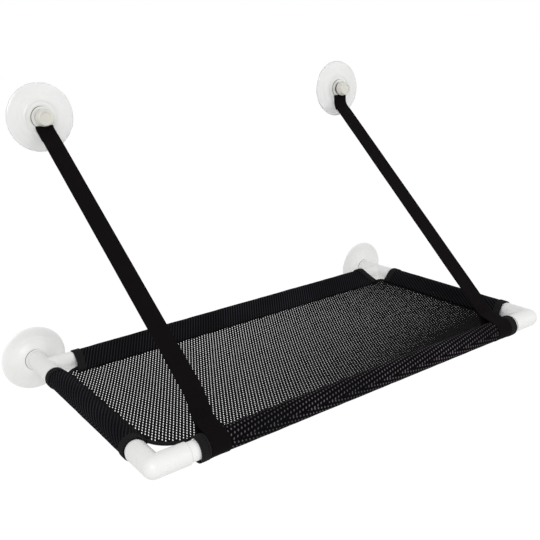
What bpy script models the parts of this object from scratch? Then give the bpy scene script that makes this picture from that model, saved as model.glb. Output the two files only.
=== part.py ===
"""A window perch for a small pet: a push-fit tube frame that carries a mesh bed, held to a
window by four suction cups and two webbing straps.

Metres, +Z up. X runs along the window, +Y points at the glass and the glass is the plane
y = 0. The origin is on the glass, midway between the two lower cups, level with the tubes.
"""

import math

import bmesh
import bpy
from mathutils import Matrix, Vector

# Frame: tube axes and push-fit fittings
FRAME_WIDTH = 0.550
FRONT_AXIS_Y = -0.322
REAR_AXIS_Y = -0.041
TUBE_RADIUS = 0.010
TUBE_BORE = 0.0085
FITTING_RADIUS = 0.0114
BRANCH_RADIUS = 0.0112
SOCKET_RADIUS = 0.0103
ELBOW_ARM = 0.035
ELBOW_STOP = 0.015
TEE_RUN_HALF = 0.030
TEE_BRANCH = 0.034
TEE_STOP = 0.013
FIT_GAP = 0.0003

# Bed: one mesh cloth with a sleeve along each tube, worn a little to the right on its frame
BED_SHIFT = 0.00425
SLEEVE_BORE = 0.0104
SLEEVE_WALL = 0.0009
FRONT_SLEEVE_SHIFT = 0.0023
FRONT_SLEEVE_HALF = 0.2329
REAR_SLEEVE_HALF = 0.2397
SIDE_SLEEVE_REAR_Y = -0.0742
SIDE_SLEEVE_FRONT_Y = {-1: -0.2835, 1: -0.2857}
SIDE_FLAP_FRONT_Y = {-1: -0.271, 1: -0.281}
FLAP_THICKNESS = 0.0018
FLAP_ALONG_ENDS = 0.025
FLAP_ALONG_SIDES = 0.020
BED_EDGE_DROP = 0.004
BED_SAG = 0.009
NET_THICKNESS = 0.0012
NET_BAR = 0.0036
NET_CELLS_X = 20
NET_CELLS_Y = 5
HEM_WIDTH = 0.010
HEM_THICKNESS = 0.0008
HEM_OPENING = math.radians(24.0)
BINDING_WIDTH = 0.005
BINDING_THICKNESS = 0.0022
BINDING_RADIUS = {-1: 0.028, 1: 0.018}

# Straps: folded webbing, looped round the front sleeve and buttonholed on the upper cups
STRAP_WIDTH = 0.023
STRAP_TOP_WIDTH = 0.0205
STRAP_THICKNESS = 0.0016
STRAP_AT_RAIL = 0.209
STRAP_AT_CUP = 0.2278
STRAP_LOOP_GAP = 0.0005
STRAP_LOOP_REACH = 0.026
STRAP_SEAM_LENGTH = 0.017
STRAP_SEAM_THICKNESS = 0.0038
STRAP_FOLD_LENGTH = 0.021
STRAP_TOP_Z = 0.2815
STRAP_BEND_Z = {-1: 0.2785, 1: 0.267}
STRAP_BEND_RADIUS = {-1: 0.006, 1: 0.014}
STRAP_OFF_GLASS = 0.009
TAB_RADIUS = 0.0098
TAB_THICKNESS = 0.0028
TAB_ROOT_WIDTH = 0.009
TAB_ROOT_Z = 0.2803
BUTTONHOLE_RADIUS = 0.0066
SLOT_WIDTH = 0.027
SLOT_NEAR = 0.0110
SLOT_FAR = 0.0175

# Suction cups
CUP_RADIUS = 0.040
CUP_LIP = 0.003
CUP_HOLLOW = 0.0015
CUP_DOME_HEIGHT = 0.0084
CUP_DOME_RADIUS = 0.013
BOSS_RADIUS = 0.0125
BOSS_HEIGHT = 0.0062
NECK_RADIUS = 0.006
NECK_END = 0.0104
HEAD_RADIUS = 0.0103
HEAD_END = 0.0205
PLUG_RADIUS = 0.0099
PLUG_END = 0.0265
UPPER_CUP_SHIFT = 0.002
UPPER_CUP_Z = 0.2905

# Facets
ROUND_SEGMENTS = 24
CUP_SEGMENTS = 32

HALF_WIDTH = FRAME_WIDTH / 2
SLEEVE_RADIUS = SLEEVE_BORE + SLEEVE_WALL
QUARTER = math.pi / 2


def clear_scene():
    for obj in list(bpy.data.objects):
        bpy.data.objects.remove(obj, do_unlink=True)


def make_material(name, color, roughness, transmission=0.0):
    material = bpy.data.materials.new(name)
    material.use_nodes = True
    shader = material.node_tree.nodes["Principled BSDF"]
    shader.inputs["Base Color"].default_value = (*color, 1.0)
    shader.inputs["Roughness"].default_value = roughness
    shader.inputs["Metallic"].default_value = 0.0
    shader.inputs["Transmission Weight"].default_value = transmission
    return material


def make_object(name, bm, material, smooth_degrees=35.0):
    """Turns a bmesh into an object whose origin is the world's origin."""
    bmesh.ops.recalc_face_normals(bm, faces=bm.faces[:])
    mesh = bpy.data.meshes.new(name)
    bm.to_mesh(mesh)
    bm.free()
    mesh.shade_smooth()
    mesh.set_sharp_from_angle(angle=math.radians(smooth_degrees))
    mesh.materials.append(material)
    obj = bpy.data.objects.new(name, mesh)
    bpy.context.scene.collection.objects.link(obj)
    return obj


def add_boolean(obj, helper, operation):
    helper.hide_render = True
    helper.display_type = "WIRE"
    modifier = obj.modifiers.new(operation.title() + " " + helper.name, "BOOLEAN")
    modifier.operation = operation
    modifier.object = helper


def set_origin(obj, point):
    """Moves an object's origin to a point on its joint's axis and leaves its shape in place."""
    obj.data.transform(Matrix.Translation(-Vector(point)))
    obj.location = point


def spin_profile(profile, centre, axis, segments, phase=0.0):
    """Spins a profile of (radius, along) points right round an axis through centre.

    phase turns the facets, so that two crossing round shapes share no corner.
    """
    bm = bmesh.new()
    centre = Vector(centre)
    axis = Vector(axis).normalized()
    side = Matrix.Rotation(phase, 3, axis) @ Vector((0, 0, 1))
    verts = [bm.verts.new(centre + side * radius + axis * along) for radius, along in profile]
    edges = [bm.edges.new(pair) for pair in zip(verts, verts[1:])]
    if profile[0][0] > 0 and profile[-1][0] > 0:
        edges.append(bm.edges.new((verts[-1], verts[0])))
    bmesh.ops.spin(
        bm,
        geom=verts + edges,
        cent=centre,
        axis=axis,
        angle=2 * math.pi,
        steps=segments,
        use_merge=True,
    )
    bmesh.ops.remove_doubles(bm, verts=bm.verts[:], dist=1e-6)
    return bm


def skin_rings(rings, closed):
    """Joins rings of points that hold the same count with quads, in a closed loop or capped."""
    bm = bmesh.new()
    loops = [[bm.verts.new(point) for point in ring] for ring in rings]
    count = len(rings[0])
    pairs = list(zip(loops, loops[1:]))
    if closed:
        pairs.append((loops[-1], loops[0]))
    else:
        bm.faces.new(loops[0])
        bm.faces.new(loops[-1])
    for first, second in pairs:
        for i in range(count):
            j = (i + 1) % count
            bm.faces.new((first[i], first[j], second[j], second[i]))
    bmesh.ops.remove_doubles(bm, verts=bm.verts[:], dist=1e-6)
    return bm


def make_tube(name, start, end, material):
    start = Vector(start)
    length = (Vector(end) - start).length
    axis = (Vector(end) - start).normalized()
    profile = [(TUBE_RADIUS, 0), (TUBE_RADIUS, length), (TUBE_BORE, length), (TUBE_BORE, 0)]
    return make_object(name, spin_profile(profile, start, axis, ROUND_SEGMENTS), material)


def elbow_arm_ring(radius, distance, arm):
    """A ring across an elbow's arm. Arm 0 runs along +X, arm 1 along +Y, their axes meet at 0."""
    ring = []
    for i in range(ROUND_SEGMENTS):
        turn = 2 * math.pi * i / ROUND_SEGMENTS
        inward = radius * math.cos(turn)
        height = radius * math.sin(turn)
        ring.append((distance, inward, height) if arm == 0 else (inward, distance, height))
    return ring


def elbow_corner_rings(radius, steps=4):
    """The rings of the corner: its inner side is a mitre and its outer side a quarter sphere."""
    rings = []
    for step in range(steps + 1):
        swing = -QUARTER * (1 + step / steps)
        ring = []
        for _, inward, height in elbow_arm_ring(radius, 0.0, 0):
            if inward < 0:
                ring.append((-inward * math.cos(swing), -inward * math.sin(swing), height))
            else:
                ring.append((inward, inward, height))
        rings.append(ring)
    return rings


def make_elbow(name, corner, side, material):
    """A 90 degree push-fit elbow with a socket in each arm and a passage between them."""
    rings = [elbow_arm_ring(FITTING_RADIUS, ELBOW_ARM, 0)]
    rings += elbow_corner_rings(FITTING_RADIUS)
    rings.append(elbow_arm_ring(FITTING_RADIUS, ELBOW_ARM, 1))
    rings.append(elbow_arm_ring(SOCKET_RADIUS, ELBOW_ARM, 1))
    rings.append(elbow_arm_ring(SOCKET_RADIUS, ELBOW_STOP, 1))
    rings.append(elbow_arm_ring(TUBE_BORE, ELBOW_STOP, 1))
    rings += reversed(elbow_corner_rings(TUBE_BORE))
    rings.append(elbow_arm_ring(TUBE_BORE, ELBOW_STOP, 0))
    rings.append(elbow_arm_ring(SOCKET_RADIUS, ELBOW_STOP, 0))
    rings.append(elbow_arm_ring(SOCKET_RADIUS, ELBOW_ARM, 0))
    bm = skin_rings(rings, closed=True)
    bmesh.ops.scale(bm, vec=(-side, 1, 1), verts=bm.verts[:])
    bmesh.ops.translate(bm, vec=corner, verts=bm.verts[:])
    return make_object(name, bm, material)


def make_tee(name, centre, side, material):
    """A push-fit tee: its run lies along Y and its branch points along the rear tube."""
    branch = (-side, 0, 0)
    y_axis = (0, 1, 0)
    half_facet = math.pi / ROUND_SEGMENTS
    half = TEE_RUN_HALF
    blank = [(0, -half), (FITTING_RADIUS, -half), (FITTING_RADIUS, half), (0, half)]
    tee = make_object(name, spin_profile(blank, centre, y_axis, ROUND_SEGMENTS), material)
    arm = [(0, 0), (BRANCH_RADIUS, 0), (BRANCH_RADIUS, TEE_BRANCH), (0, TEE_BRANCH)]
    arm = spin_profile(arm, centre, branch, ROUND_SEGMENTS, half_facet)
    add_boolean(tee, make_object(name + "_branch", arm, material), "UNION")
    over = half + 0.002
    run_bore = [
        (0, -over),
        (SOCKET_RADIUS, -over),
        (SOCKET_RADIUS, -TEE_STOP),
        (TUBE_BORE, -TEE_STOP),
        (TUBE_BORE, TEE_STOP),
        (SOCKET_RADIUS, TEE_STOP),
        (SOCKET_RADIUS, over),
        (0, over),
    ]
    run_bore = spin_profile(run_bore, centre, y_axis, ROUND_SEGMENTS, half_facet)
    add_boolean(tee, make_object(name + "_run_bore", run_bore, material), "DIFFERENCE")
    over = TEE_BRANCH + 0.002
    passage = TUBE_BORE - 0.0006
    branch_bore = [(0, 0), (passage, 0), (passage, TEE_STOP), (SOCKET_RADIUS, TEE_STOP)]
    branch_bore += [(SOCKET_RADIUS, over), (0, over)]
    branch_bore = spin_profile(branch_bore, centre, branch, ROUND_SEGMENTS)
    add_boolean(tee, make_object(name + "_branch_bore", branch_bore, material), "DIFFERENCE")
    return tee


def cup_profile():
    """(radius, distance from the glass) points of the disc that all four cups share."""
    return [
        (0, -CUP_HOLLOW),
        (CUP_RADIUS * 0.5, -CUP_HOLLOW * 0.8),
        (CUP_RADIUS - CUP_LIP, 0),
        (CUP_RADIUS, 0),
        (CUP_RADIUS, -0.0009),
        (CUP_RADIUS * 0.92, -0.0018),
        (CUP_RADIUS * 0.68, -0.0029),
    ]


def make_cup(name, x, z, grip, material):
    """A soft cup on the glass. Its grip is a neck and head for a strap, or a plug for a tee."""
    profile = cup_profile()
    if grip == "head":
        profile += [
            (CUP_RADIUS * 0.62, -0.0037),
            (BOSS_RADIUS + 0.0012, -0.0047),
            (BOSS_RADIUS, -BOSS_HEIGHT),
            (NECK_RADIUS, -BOSS_HEIGHT),
            (NECK_RADIUS, -NECK_END),
            (HEAD_RADIUS - 0.0010, -NECK_END),
            (HEAD_RADIUS, -NECK_END - 0.0014),
            (HEAD_RADIUS, -HEAD_END + 0.0020),
            (HEAD_RADIUS - 0.0020, -HEAD_END),
            (HEAD_RADIUS * 0.66, -HEAD_END),
            (0, -HEAD_END + 0.0008),
        ]
    else:
        profile += [
            (CUP_RADIUS * 0.62, -0.0044),
            (CUP_RADIUS * 0.45, -0.0066),
            (CUP_DOME_RADIUS, -CUP_DOME_HEIGHT),
            (PLUG_RADIUS, -CUP_DOME_HEIGHT),
            (PLUG_RADIUS, -PLUG_END + 0.002),
            (PLUG_RADIUS - 0.002, -PLUG_END),
            (0, -PLUG_END),
        ]
    bm = spin_profile(profile, (x, 0, z), (0, 1, 0), CUP_SEGMENTS)
    cup = make_object(name, bm, material)
    set_origin(cup, (x, 0, z))
    return cup


def make_sleeve(name, along, ends, flap_ends, axis_point, inward, reach, material):
    """A cloth sleeve round its tube, with a double-layer flap that carries the mesh panel.

    ends and flap_ends are positions along the tube. The flap starts in the middle of the
    sleeve's wall and slopes down to the panel's edge.
    """
    start, end = ends
    profile = [(SLEEVE_RADIUS, start), (SLEEVE_RADIUS, end)]
    profile += [(SLEEVE_BORE, end), (SLEEVE_BORE, start)]
    skin = make_object(name, spin_profile(profile, axis_point, along, ROUND_SEGMENTS), material)
    slope = math.atan2(BED_EDGE_DROP, reach)
    inward = Vector(inward)
    out = inward * math.cos(slope) - Vector((0, 0, math.sin(slope)))
    half = (inward * math.sin(slope) + Vector((0, 0, math.cos(slope)))) * (FLAP_THICKNESS / 2)
    far = reach / math.cos(slope)
    near = SLEEVE_BORE + SLEEVE_WALL / 2
    rings = []
    for position in flap_ends:
        base = Vector(axis_point) + Vector(along) * position
        rings.append([base + out * near - half, base + out * far - half])
        rings[-1] += [base + out * far + half, base + out * near + half]
    flap = make_object(name + "_flap", skin_rings(rings, closed=False), material)
    add_boolean(skin, flap, "UNION")
    return skin


def cut_strap_slots(sleeve, material):
    """Slots through the front flap, where the straps' loops pass behind the sleeve."""
    for side, name in ((-1, "left"), (1, "right")):
        bm = bmesh.new()
        bmesh.ops.create_cube(bm, size=1.0)
        size = (SLOT_WIDTH, SLOT_FAR - SLOT_NEAR, 0.012)
        bmesh.ops.scale(bm, vec=size, verts=bm.verts[:])
        x = BED_SHIFT + side * STRAP_AT_RAIL
        y = FRONT_AXIS_Y + (SLOT_NEAR + SLOT_FAR) / 2
        bmesh.ops.translate(bm, vec=(x, y, 0), verts=bm.verts[:])
        add_boolean(sleeve, make_object("slot_cutter_" + name, bm, material), "DIFFERENCE")


def make_hem(name, along, start, skin_radius, axis_point, inward, material):
    """A turned hem: a band round a sleeve's end, open where the flap leaves the sleeve."""
    inner = skin_radius + FIT_GAP
    outer = inner + HEM_THICKNESS
    inward = Vector(inward)
    up = Vector((0, 0, 1))
    steps = 18
    rings = []
    for step in range(steps + 1):
        turn = HEM_OPENING + (2 * math.pi - 2 * HEM_OPENING) * step / steps
        out = inward * math.cos(turn) + up * math.sin(turn)
        near = Vector(axis_point) + Vector(along) * start
        far = near + Vector(along) * HEM_WIDTH
        rings.append([near + out * inner, near + out * outer, far + out * outer, far + out * inner])
    return make_object(name, skin_rings(rings, closed=False), material)


def bed_bounds():
    """The mesh panel's half width and its front and rear edges, clear of the flaps."""
    half = HALF_WIDTH - FLAP_ALONG_SIDES - FIT_GAP
    front = FRONT_AXIS_Y + FLAP_ALONG_ENDS + FIT_GAP
    rear = REAR_AXIS_Y - FLAP_ALONG_ENDS - FIT_GAP
    return half, front, rear


def corner_inset(side):
    """How far a front corner's round tape has its centre inside the panel's two edges."""
    return BINDING_RADIUS[side] - FIT_GAP - BINDING_WIDTH / 2


def bed_height(x, y):
    half, front, rear = bed_bounds()
    across = 1 - (x / half) ** 2
    deep = 1 - ((2 * y - front - rear) / (front - rear)) ** 2
    return -BED_EDGE_DROP - BED_SAG * max(across, 0) * max(deep, 0)


def make_bed_panel(material):
    """The bed's net: slanting bars round diamond gaps, with a gentle sag in the middle."""
    half, front, rear = bed_bounds()
    bm = bmesh.new()
    bmesh.ops.create_grid(bm, x_segments=NET_CELLS_X, y_segments=NET_CELLS_Y, size=1.0)
    grid_edges = [edge for edge in bm.edges if not edge.is_boundary]
    bmesh.ops.poke(bm, faces=bm.faces[:])
    bmesh.ops.dissolve_edges(bm, edges=grid_edges, use_verts=False)
    depth = (rear - front) / 2
    middle = (rear + front) / 2
    bmesh.ops.scale(bm, vec=(half, depth, 1), verts=bm.verts[:])
    bmesh.ops.translate(bm, vec=(0, middle, 0), verts=bm.verts[:])
    for vert in bm.verts:
        at_side = abs(abs(vert.co.x) - half) < 1e-6
        if at_side and abs(vert.co.y - front) < 1e-6:
            cut = corner_inset(math.copysign(1, vert.co.x)) * 0.3
            vert.co.x -= math.copysign(cut, vert.co.x)
            vert.co.y += cut
    gaps = bm.faces[:]
    bmesh.ops.inset_individual(bm, faces=gaps, thickness=NET_BAR / 2, use_even_offset=True)
    bmesh.ops.delete(bm, geom=gaps, context="FACES_ONLY")
    for vert in bm.verts:
        vert.co.z = bed_height(vert.co.x, vert.co.y)
    panel = make_object("bed_panel", bm, material)
    wall = panel.modifiers.new("Cloth thickness", "SOLIDIFY")
    wall.thickness = NET_THICKNESS
    wall.offset = 0.0
    wall.use_rim = True
    return panel


def make_binding(name, path, material):
    """A flat tape along a path of (x, y) points, level with the edge of the mesh panel."""
    low = -BED_EDGE_DROP - BINDING_THICKNESS / 2
    high = -BED_EDGE_DROP + BINDING_THICKNESS / 2
    rings = []
    steps = [(after - before).normalized() for before, after in zip(path, path[1:])]
    for index, point in enumerate(path):
        before = steps[max(index - 1, 0)]
        after = steps[min(index, len(steps) - 1)]
        tangent = (before + after).normalized()
        reach = BINDING_WIDTH / 2 / tangent.dot(after)
        side = Vector((-tangent.y, tangent.x)) * reach
        left = point + side
        right = point - side
        rings.append([(left.x, left.y, low), (right.x, right.y, low)])
        rings[-1] += [(right.x, right.y, high), (left.x, left.y, high)]
    return make_object(name, skin_rings(rings, closed=False), material)


def front_binding_path(side, sleeve_end_x, sleeve_end_y):
    """Round the panel's front corner, from the side sleeve's end to the front sleeve's end."""
    half, front, _ = bed_bounds()
    outset = FIT_GAP + BINDING_WIDTH / 2
    inset = corner_inset(side)
    centre = Vector((side * (half - inset), front + inset))
    path = [Vector((side * (half + outset), sleeve_end_y))]
    for step in range(1, 9):
        turn = QUARTER * step / 9
        arm = Vector((side * math.cos(turn), -math.sin(turn))) * BINDING_RADIUS[side]
        path.append(centre + arm)
    path.append(Vector((sleeve_end_x, front - outset)))
    return path


def rear_binding_path(side, sleeve_end_x):
    """Round the panel's rear corner, from the rear sleeve's end to the side flap's end."""
    half, _, rear = bed_bounds()
    outset = FIT_GAP + BINDING_WIDTH / 2
    x = side * (half + outset)
    y = rear + outset
    return [Vector((sleeve_end_x, y)), Vector((x, y)), Vector((x, SIDE_SLEEVE_REAR_Y + FIT_GAP))]


def upper_cup_x(side):
    return UPPER_CUP_SHIFT + side * STRAP_AT_CUP


def strap_lines(side):
    """The fixed points of a strap in the (y, z) plane: rail, bend, pull direction and normal."""
    rail = Vector((FRONT_AXIS_Y, 0.0))
    bend = Vector((-STRAP_OFF_GLASS, STRAP_BEND_Z[side]))
    pull = (bend - rail).normalized()
    normal = Vector((-pull.y, pull.x))
    return rail, bend, pull, normal


def strap_path(side):
    """Stations of the webbing's middle line in (y, z), from its top edge to its loop's end."""
    rail, bend, pull, normal = strap_lines(side)
    turn = math.acos(pull.y)
    radius = STRAP_BEND_RADIUS[side]
    bend_start = bend.y + radius * math.tan(turn / 2)
    path = [Vector((bend.x, STRAP_TOP_Z))]
    centre = Vector((bend.x - radius, bend_start))
    for step in range(5):
        swing = turn * step / 4
        path.append(centre + Vector((math.cos(swing), -math.sin(swing))) * radius)
    joint = rail + pull * STRAP_LOOP_REACH
    upper = joint + normal * (STRAP_THICKNESS * 0.53)
    lower = joint - normal * (STRAP_THICKNESS * 0.53)
    path += [path[-1].lerp(upper, 0.35), path[-1].lerp(upper, 0.7), upper]
    radius = SLEEVE_RADIUS + STRAP_LOOP_GAP + STRAP_THICKNESS / 2
    lean = math.acos(radius / (upper - rail).length)
    first = math.atan2((upper - rail).y, (upper - rail).x) + lean
    last = math.atan2((lower - rail).y, (lower - rail).x) - lean + 2 * math.pi
    for step in range(17):
        swing = first + (last - first) * step / 16
        path.append(rail + Vector((math.cos(swing), math.sin(swing))) * radius)
    path.append(lower)
    return path


def sweep_webbing(path, fronts, backs, side, trim=0.0):
    """Sweeps a flat band along a path in (y, z). Its width lies along X, and it leans in X.

    fronts and backs hold the band's thickness to the room's side and to the glass's side,
    and trim is taken off each edge.
    """
    rail, bend, pull, _ = strap_lines(side)
    span = (bend - rail).length
    low_x = BED_SHIFT + side * STRAP_AT_RAIL
    rings = []
    for index, point in enumerate(path):
        before = path[max(index - 1, 0)]
        after = path[min(index + 1, len(path) - 1)]
        tangent = (after - before).normalized()
        across = Vector((-tangent.y, tangent.x))
        front = point - across * fronts[index]
        back = point + across * backs[index]
        climb = ((point - rail).dot(pull) - STRAP_LOOP_REACH) / (span - STRAP_LOOP_REACH)
        climb = max(min(climb, 1.0), 0.0)
        x = low_x + (upper_cup_x(side) - low_x) * climb
        narrow = (point.y - STRAP_TOP_Z) / STRAP_FOLD_LENGTH + 1.6
        narrow = max(min(narrow, 1.0), 0.0)
        half = (STRAP_WIDTH + (STRAP_TOP_WIDTH - STRAP_WIDTH) * narrow) / 2 - trim
        rings.append([(x - half, front.x, front.y), (x + half, front.x, front.y)])
        rings[-1] += [(x + half, back.x, back.y), (x - half, back.x, back.y)]
    return skin_rings(rings, closed=False)


def split_at_fold(path):
    """Adds two stations where the folded end stops, and gives the webbing's back thickness."""
    half = STRAP_THICKNESS / 2
    points = [path[0]]
    backs = [3 * half]
    travelled = 0.0
    for before, point in zip(path, path[1:]):
        step = (point - before).length
        left = STRAP_FOLD_LENGTH - travelled
        if 0 < left <= step:
            along = (point - before) / step
            points += [before + along * left, before + along * (left + 0.0006)]
            backs += [3 * half, half]
        travelled += step
        points.append(point)
        backs.append(half if travelled > STRAP_FOLD_LENGTH else 3 * half)
    return points, backs


def tab_mesh(side):
    """The round tab above the webbing's doubled end, which holds the cup's neck."""
    middle = -STRAP_OFF_GLASS + STRAP_THICKNESS / 2
    outline = [(TAB_ROOT_WIDTH / 2, TAB_ROOT_Z)]
    start = -math.radians(62)
    for step in range(21):
        turn = start + (math.pi - 2 * start) * step / 20
        height = UPPER_CUP_Z + TAB_RADIUS * math.sin(turn)
        outline.append((TAB_RADIUS * math.cos(turn), height))
    outline.append((-TAB_ROOT_WIDTH / 2, TAB_ROOT_Z))
    rings = []
    for y in (middle - TAB_THICKNESS / 2, middle + TAB_THICKNESS / 2):
        rings.append([(upper_cup_x(side) + x, y, z) for x, z in outline])
    return skin_rings(rings, closed=False)


def make_strap(name, side, material):
    """A webbing strap with its buttonhole at the top and its sewn loop at the front tube."""
    path, backs = split_at_fold(strap_path(side))
    fronts = [STRAP_THICKNESS / 2] * len(path)
    strap = make_object(name, sweep_webbing(path, fronts, backs, side), material)
    rail, _, pull, _ = strap_lines(side)
    joint = rail + pull * STRAP_LOOP_REACH
    seam = [joint - pull * 0.003, joint + pull * (STRAP_SEAM_LENGTH - 0.003)]
    halves = [STRAP_SEAM_THICKNESS / 2] * 2
    seam = sweep_webbing(seam, halves, halves, side, trim=0.0004)
    add_boolean(strap, make_object(name + "_seam", seam, material), "UNION")
    add_boolean(strap, make_object(name + "_tab", tab_mesh(side), material), "UNION")
    hole = [(0, -0.02), (BUTTONHOLE_RADIUS, -0.02), (BUTTONHOLE_RADIUS, 0.0), (0, 0.0)]
    hole = spin_profile(hole, (upper_cup_x(side), 0, UPPER_CUP_Z), (0, 1, 0), 20)
    add_boolean(strap, make_object(name + "_hole", hole, material), "DIFFERENCE")
    set_origin(strap, (BED_SHIFT + side * STRAP_AT_RAIL, FRONT_AXIS_Y, 0))
    return strap


def build_frame(plastic):
    elbow_end = ELBOW_STOP + FIT_GAP
    tee_end = TEE_STOP + FIT_GAP
    front_half = HALF_WIDTH - elbow_end
    rear_half = HALF_WIDTH - tee_end
    make_tube("front_tube", (-front_half, FRONT_AXIS_Y, 0), (front_half, FRONT_AXIS_Y, 0), plastic)
    make_tube("rear_tube", (-rear_half, REAR_AXIS_Y, 0), (rear_half, REAR_AXIS_Y, 0), plastic)
    for side, name in ((-1, "left"), (1, "right")):
        x = side * HALF_WIDTH
        front = FRONT_AXIS_Y + elbow_end
        rear = REAR_AXIS_Y - tee_end
        make_tube(name + "_tube", (x, front, 0), (x, rear, 0), plastic)
        make_elbow("front_" + name + "_elbow", (x, FRONT_AXIS_Y, 0), side, plastic)
        make_tee("rear_" + name + "_tee", (x, REAR_AXIS_Y, 0), side, plastic)


def build_long_sleeves(cloth, tape):
    """The front and rear sleeves, with a hem at each end."""
    x_axis = (1, 0, 0)
    for name, y, centre, half in (
        ("front_sleeve", FRONT_AXIS_Y, FRONT_SLEEVE_SHIFT, FRONT_SLEEVE_HALF),
        ("rear_sleeve", REAR_AXIS_Y, 0.0, REAR_SLEEVE_HALF),
    ):
        point = (0, y, 0)
        inward = (0, 1, 0) if y == FRONT_AXIS_Y else (0, -1, 0)
        ends = (centre - half, centre + half)
        sleeve = make_sleeve(name, x_axis, ends, ends, point, inward, FLAP_ALONG_ENDS, cloth)
        if y == FRONT_AXIS_Y:
            cut_strap_slots(sleeve, cloth)
        for end, start in (("left", centre - half), ("right", centre + half - HEM_WIDTH)):
            make_hem(name + "_" + end + "_hem", x_axis, start, SLEEVE_RADIUS, point, inward, tape)


def build_side_sleeve(side, name, cloth, tape):
    """A side sleeve, its two hems and the corner tapes at its ends."""
    y_axis = (0, 1, 0)
    point = (side * HALF_WIDTH, 0, 0)
    inward = (-side, 0, 0)
    front = SIDE_SLEEVE_FRONT_Y[side]
    flap_front = SIDE_FLAP_FRONT_Y[side]
    ends = (SIDE_SLEEVE_REAR_Y, front)
    flap_ends = (SIDE_SLEEVE_REAR_Y, flap_front)
    label = name + "_sleeve"
    make_sleeve(label, y_axis, ends, flap_ends, point, inward, FLAP_ALONG_SIDES, cloth)
    rear_start = SIDE_SLEEVE_REAR_Y - HEM_WIDTH
    make_hem(label + "_rear_hem", y_axis, rear_start, SLEEVE_RADIUS, point, inward, tape)
    make_hem(label + "_front_hem", y_axis, front, SLEEVE_RADIUS, point, inward, tape)
    front_end = FRONT_SLEEVE_SHIFT + side * (FRONT_SLEEVE_HALF + FIT_GAP)
    path = front_binding_path(side, front_end, flap_front - FIT_GAP)
    make_binding("front_" + name + "_binding", path, tape)
    path = rear_binding_path(side, side * (REAR_SLEEVE_HALF + FIT_GAP))
    make_binding("rear_" + name + "_binding", path, tape)


def main():
    clear_scene()
    plastic = make_material("white_plastic", (0.82, 0.82, 0.81), 0.38)
    cloth = make_material("mesh_cloth", (0.016, 0.015, 0.018), 0.85)
    tape = make_material("binding_tape", (0.022, 0.022, 0.024), 0.75)
    webbing = make_material("strap_webbing", (0.012, 0.010, 0.011), 0.8)
    clear_vinyl = make_material("clear_vinyl", (0.88, 0.89, 0.86), 0.12, 0.85)
    milky_vinyl = make_material("milky_vinyl", (0.85, 0.85, 0.84), 0.3, 0.35)
    build_frame(plastic)
    make_bed_panel(cloth)
    build_long_sleeves(cloth, tape)
    build_side_sleeve(-1, "left", cloth, tape)
    build_side_sleeve(1, "right", cloth, tape)
    for side, name in ((-1, "left"), (1, "right")):
        make_strap(name + "_strap", side, webbing)
        make_cup("upper_" + name + "_cup", upper_cup_x(side), UPPER_CUP_Z, "head", clear_vinyl)
        make_cup("lower_" + name + "_cup", side * HALF_WIDTH, 0, "plug", milky_vinyl)


main()
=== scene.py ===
"""Looks for the window perch: a tube frame with a mesh bed, held to a window by suction cups.

Laid out as an add-on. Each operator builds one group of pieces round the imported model, in
metres, with +X along the window, +Y into its glass and +Z up.
"""

import math

import bmesh
import bpy
from bpy.props import FloatProperty, FloatVectorProperty, IntProperty, PointerProperty
from mathutils import Matrix, Vector, noise


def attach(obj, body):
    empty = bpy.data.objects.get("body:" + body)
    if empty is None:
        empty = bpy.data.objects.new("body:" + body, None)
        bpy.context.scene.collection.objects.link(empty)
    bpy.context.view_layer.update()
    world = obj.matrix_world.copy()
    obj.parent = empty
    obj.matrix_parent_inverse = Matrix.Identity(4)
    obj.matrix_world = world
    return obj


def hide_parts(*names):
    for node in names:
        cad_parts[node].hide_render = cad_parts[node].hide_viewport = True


bl_info = {
    "name": "Window perch",
    "version": (1, 0, 0),
    "blender": (4, 5, 0),
    "location": "View3D > Sidebar > Perch",
    "description": "Builds the visible pieces of a window perch round its packed model",
    "category": "Object",
}

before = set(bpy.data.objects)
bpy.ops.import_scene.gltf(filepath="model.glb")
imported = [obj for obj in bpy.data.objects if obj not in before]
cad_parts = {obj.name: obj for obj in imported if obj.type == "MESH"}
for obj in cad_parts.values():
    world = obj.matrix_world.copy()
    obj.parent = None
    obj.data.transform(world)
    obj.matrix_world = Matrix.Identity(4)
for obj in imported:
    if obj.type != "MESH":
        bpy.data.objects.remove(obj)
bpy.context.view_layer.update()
SIDES = ((-1, "left"), (1, "right"))
QUARTER = math.pi / 2
X_AXIS = Vector((1, 0, 0))
Y_AXIS = Vector((0, 1, 0))
Z_AXIS = Vector((0, 0, 1))

# Gap between pieces that touch
CLEARANCE = 0.0003
# Distance between the middle lines of the folded end's two layers, in webbing thicknesses
FOLD_GAP = 1.12
# Distance from the loop's seam to the middle line of each layer, in webbing thicknesses
SEAM_OFFSET = 0.53
# Angles in degrees from which an edge is shaded sharp
SHARP_PLASTIC = 38.0
SHARP_BLENDED = 45.0
SHARP_MOULDED = 50.0
SHARP_CLOTH = 60.0


def length_setting(name, default, description):
    return FloatProperty(name=name, default=default, description=description, unit="LENGTH", precision=5)


def angle_setting(name, degrees, description):
    return FloatProperty(name=name, default=math.radians(degrees), description=description, subtype="ANGLE")


def colour_setting(name, default, description):
    return FloatVectorProperty(
        name=name, default=default, description=description, subtype="COLOR", size=3, min=0.0, max=1.0
    )


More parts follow.
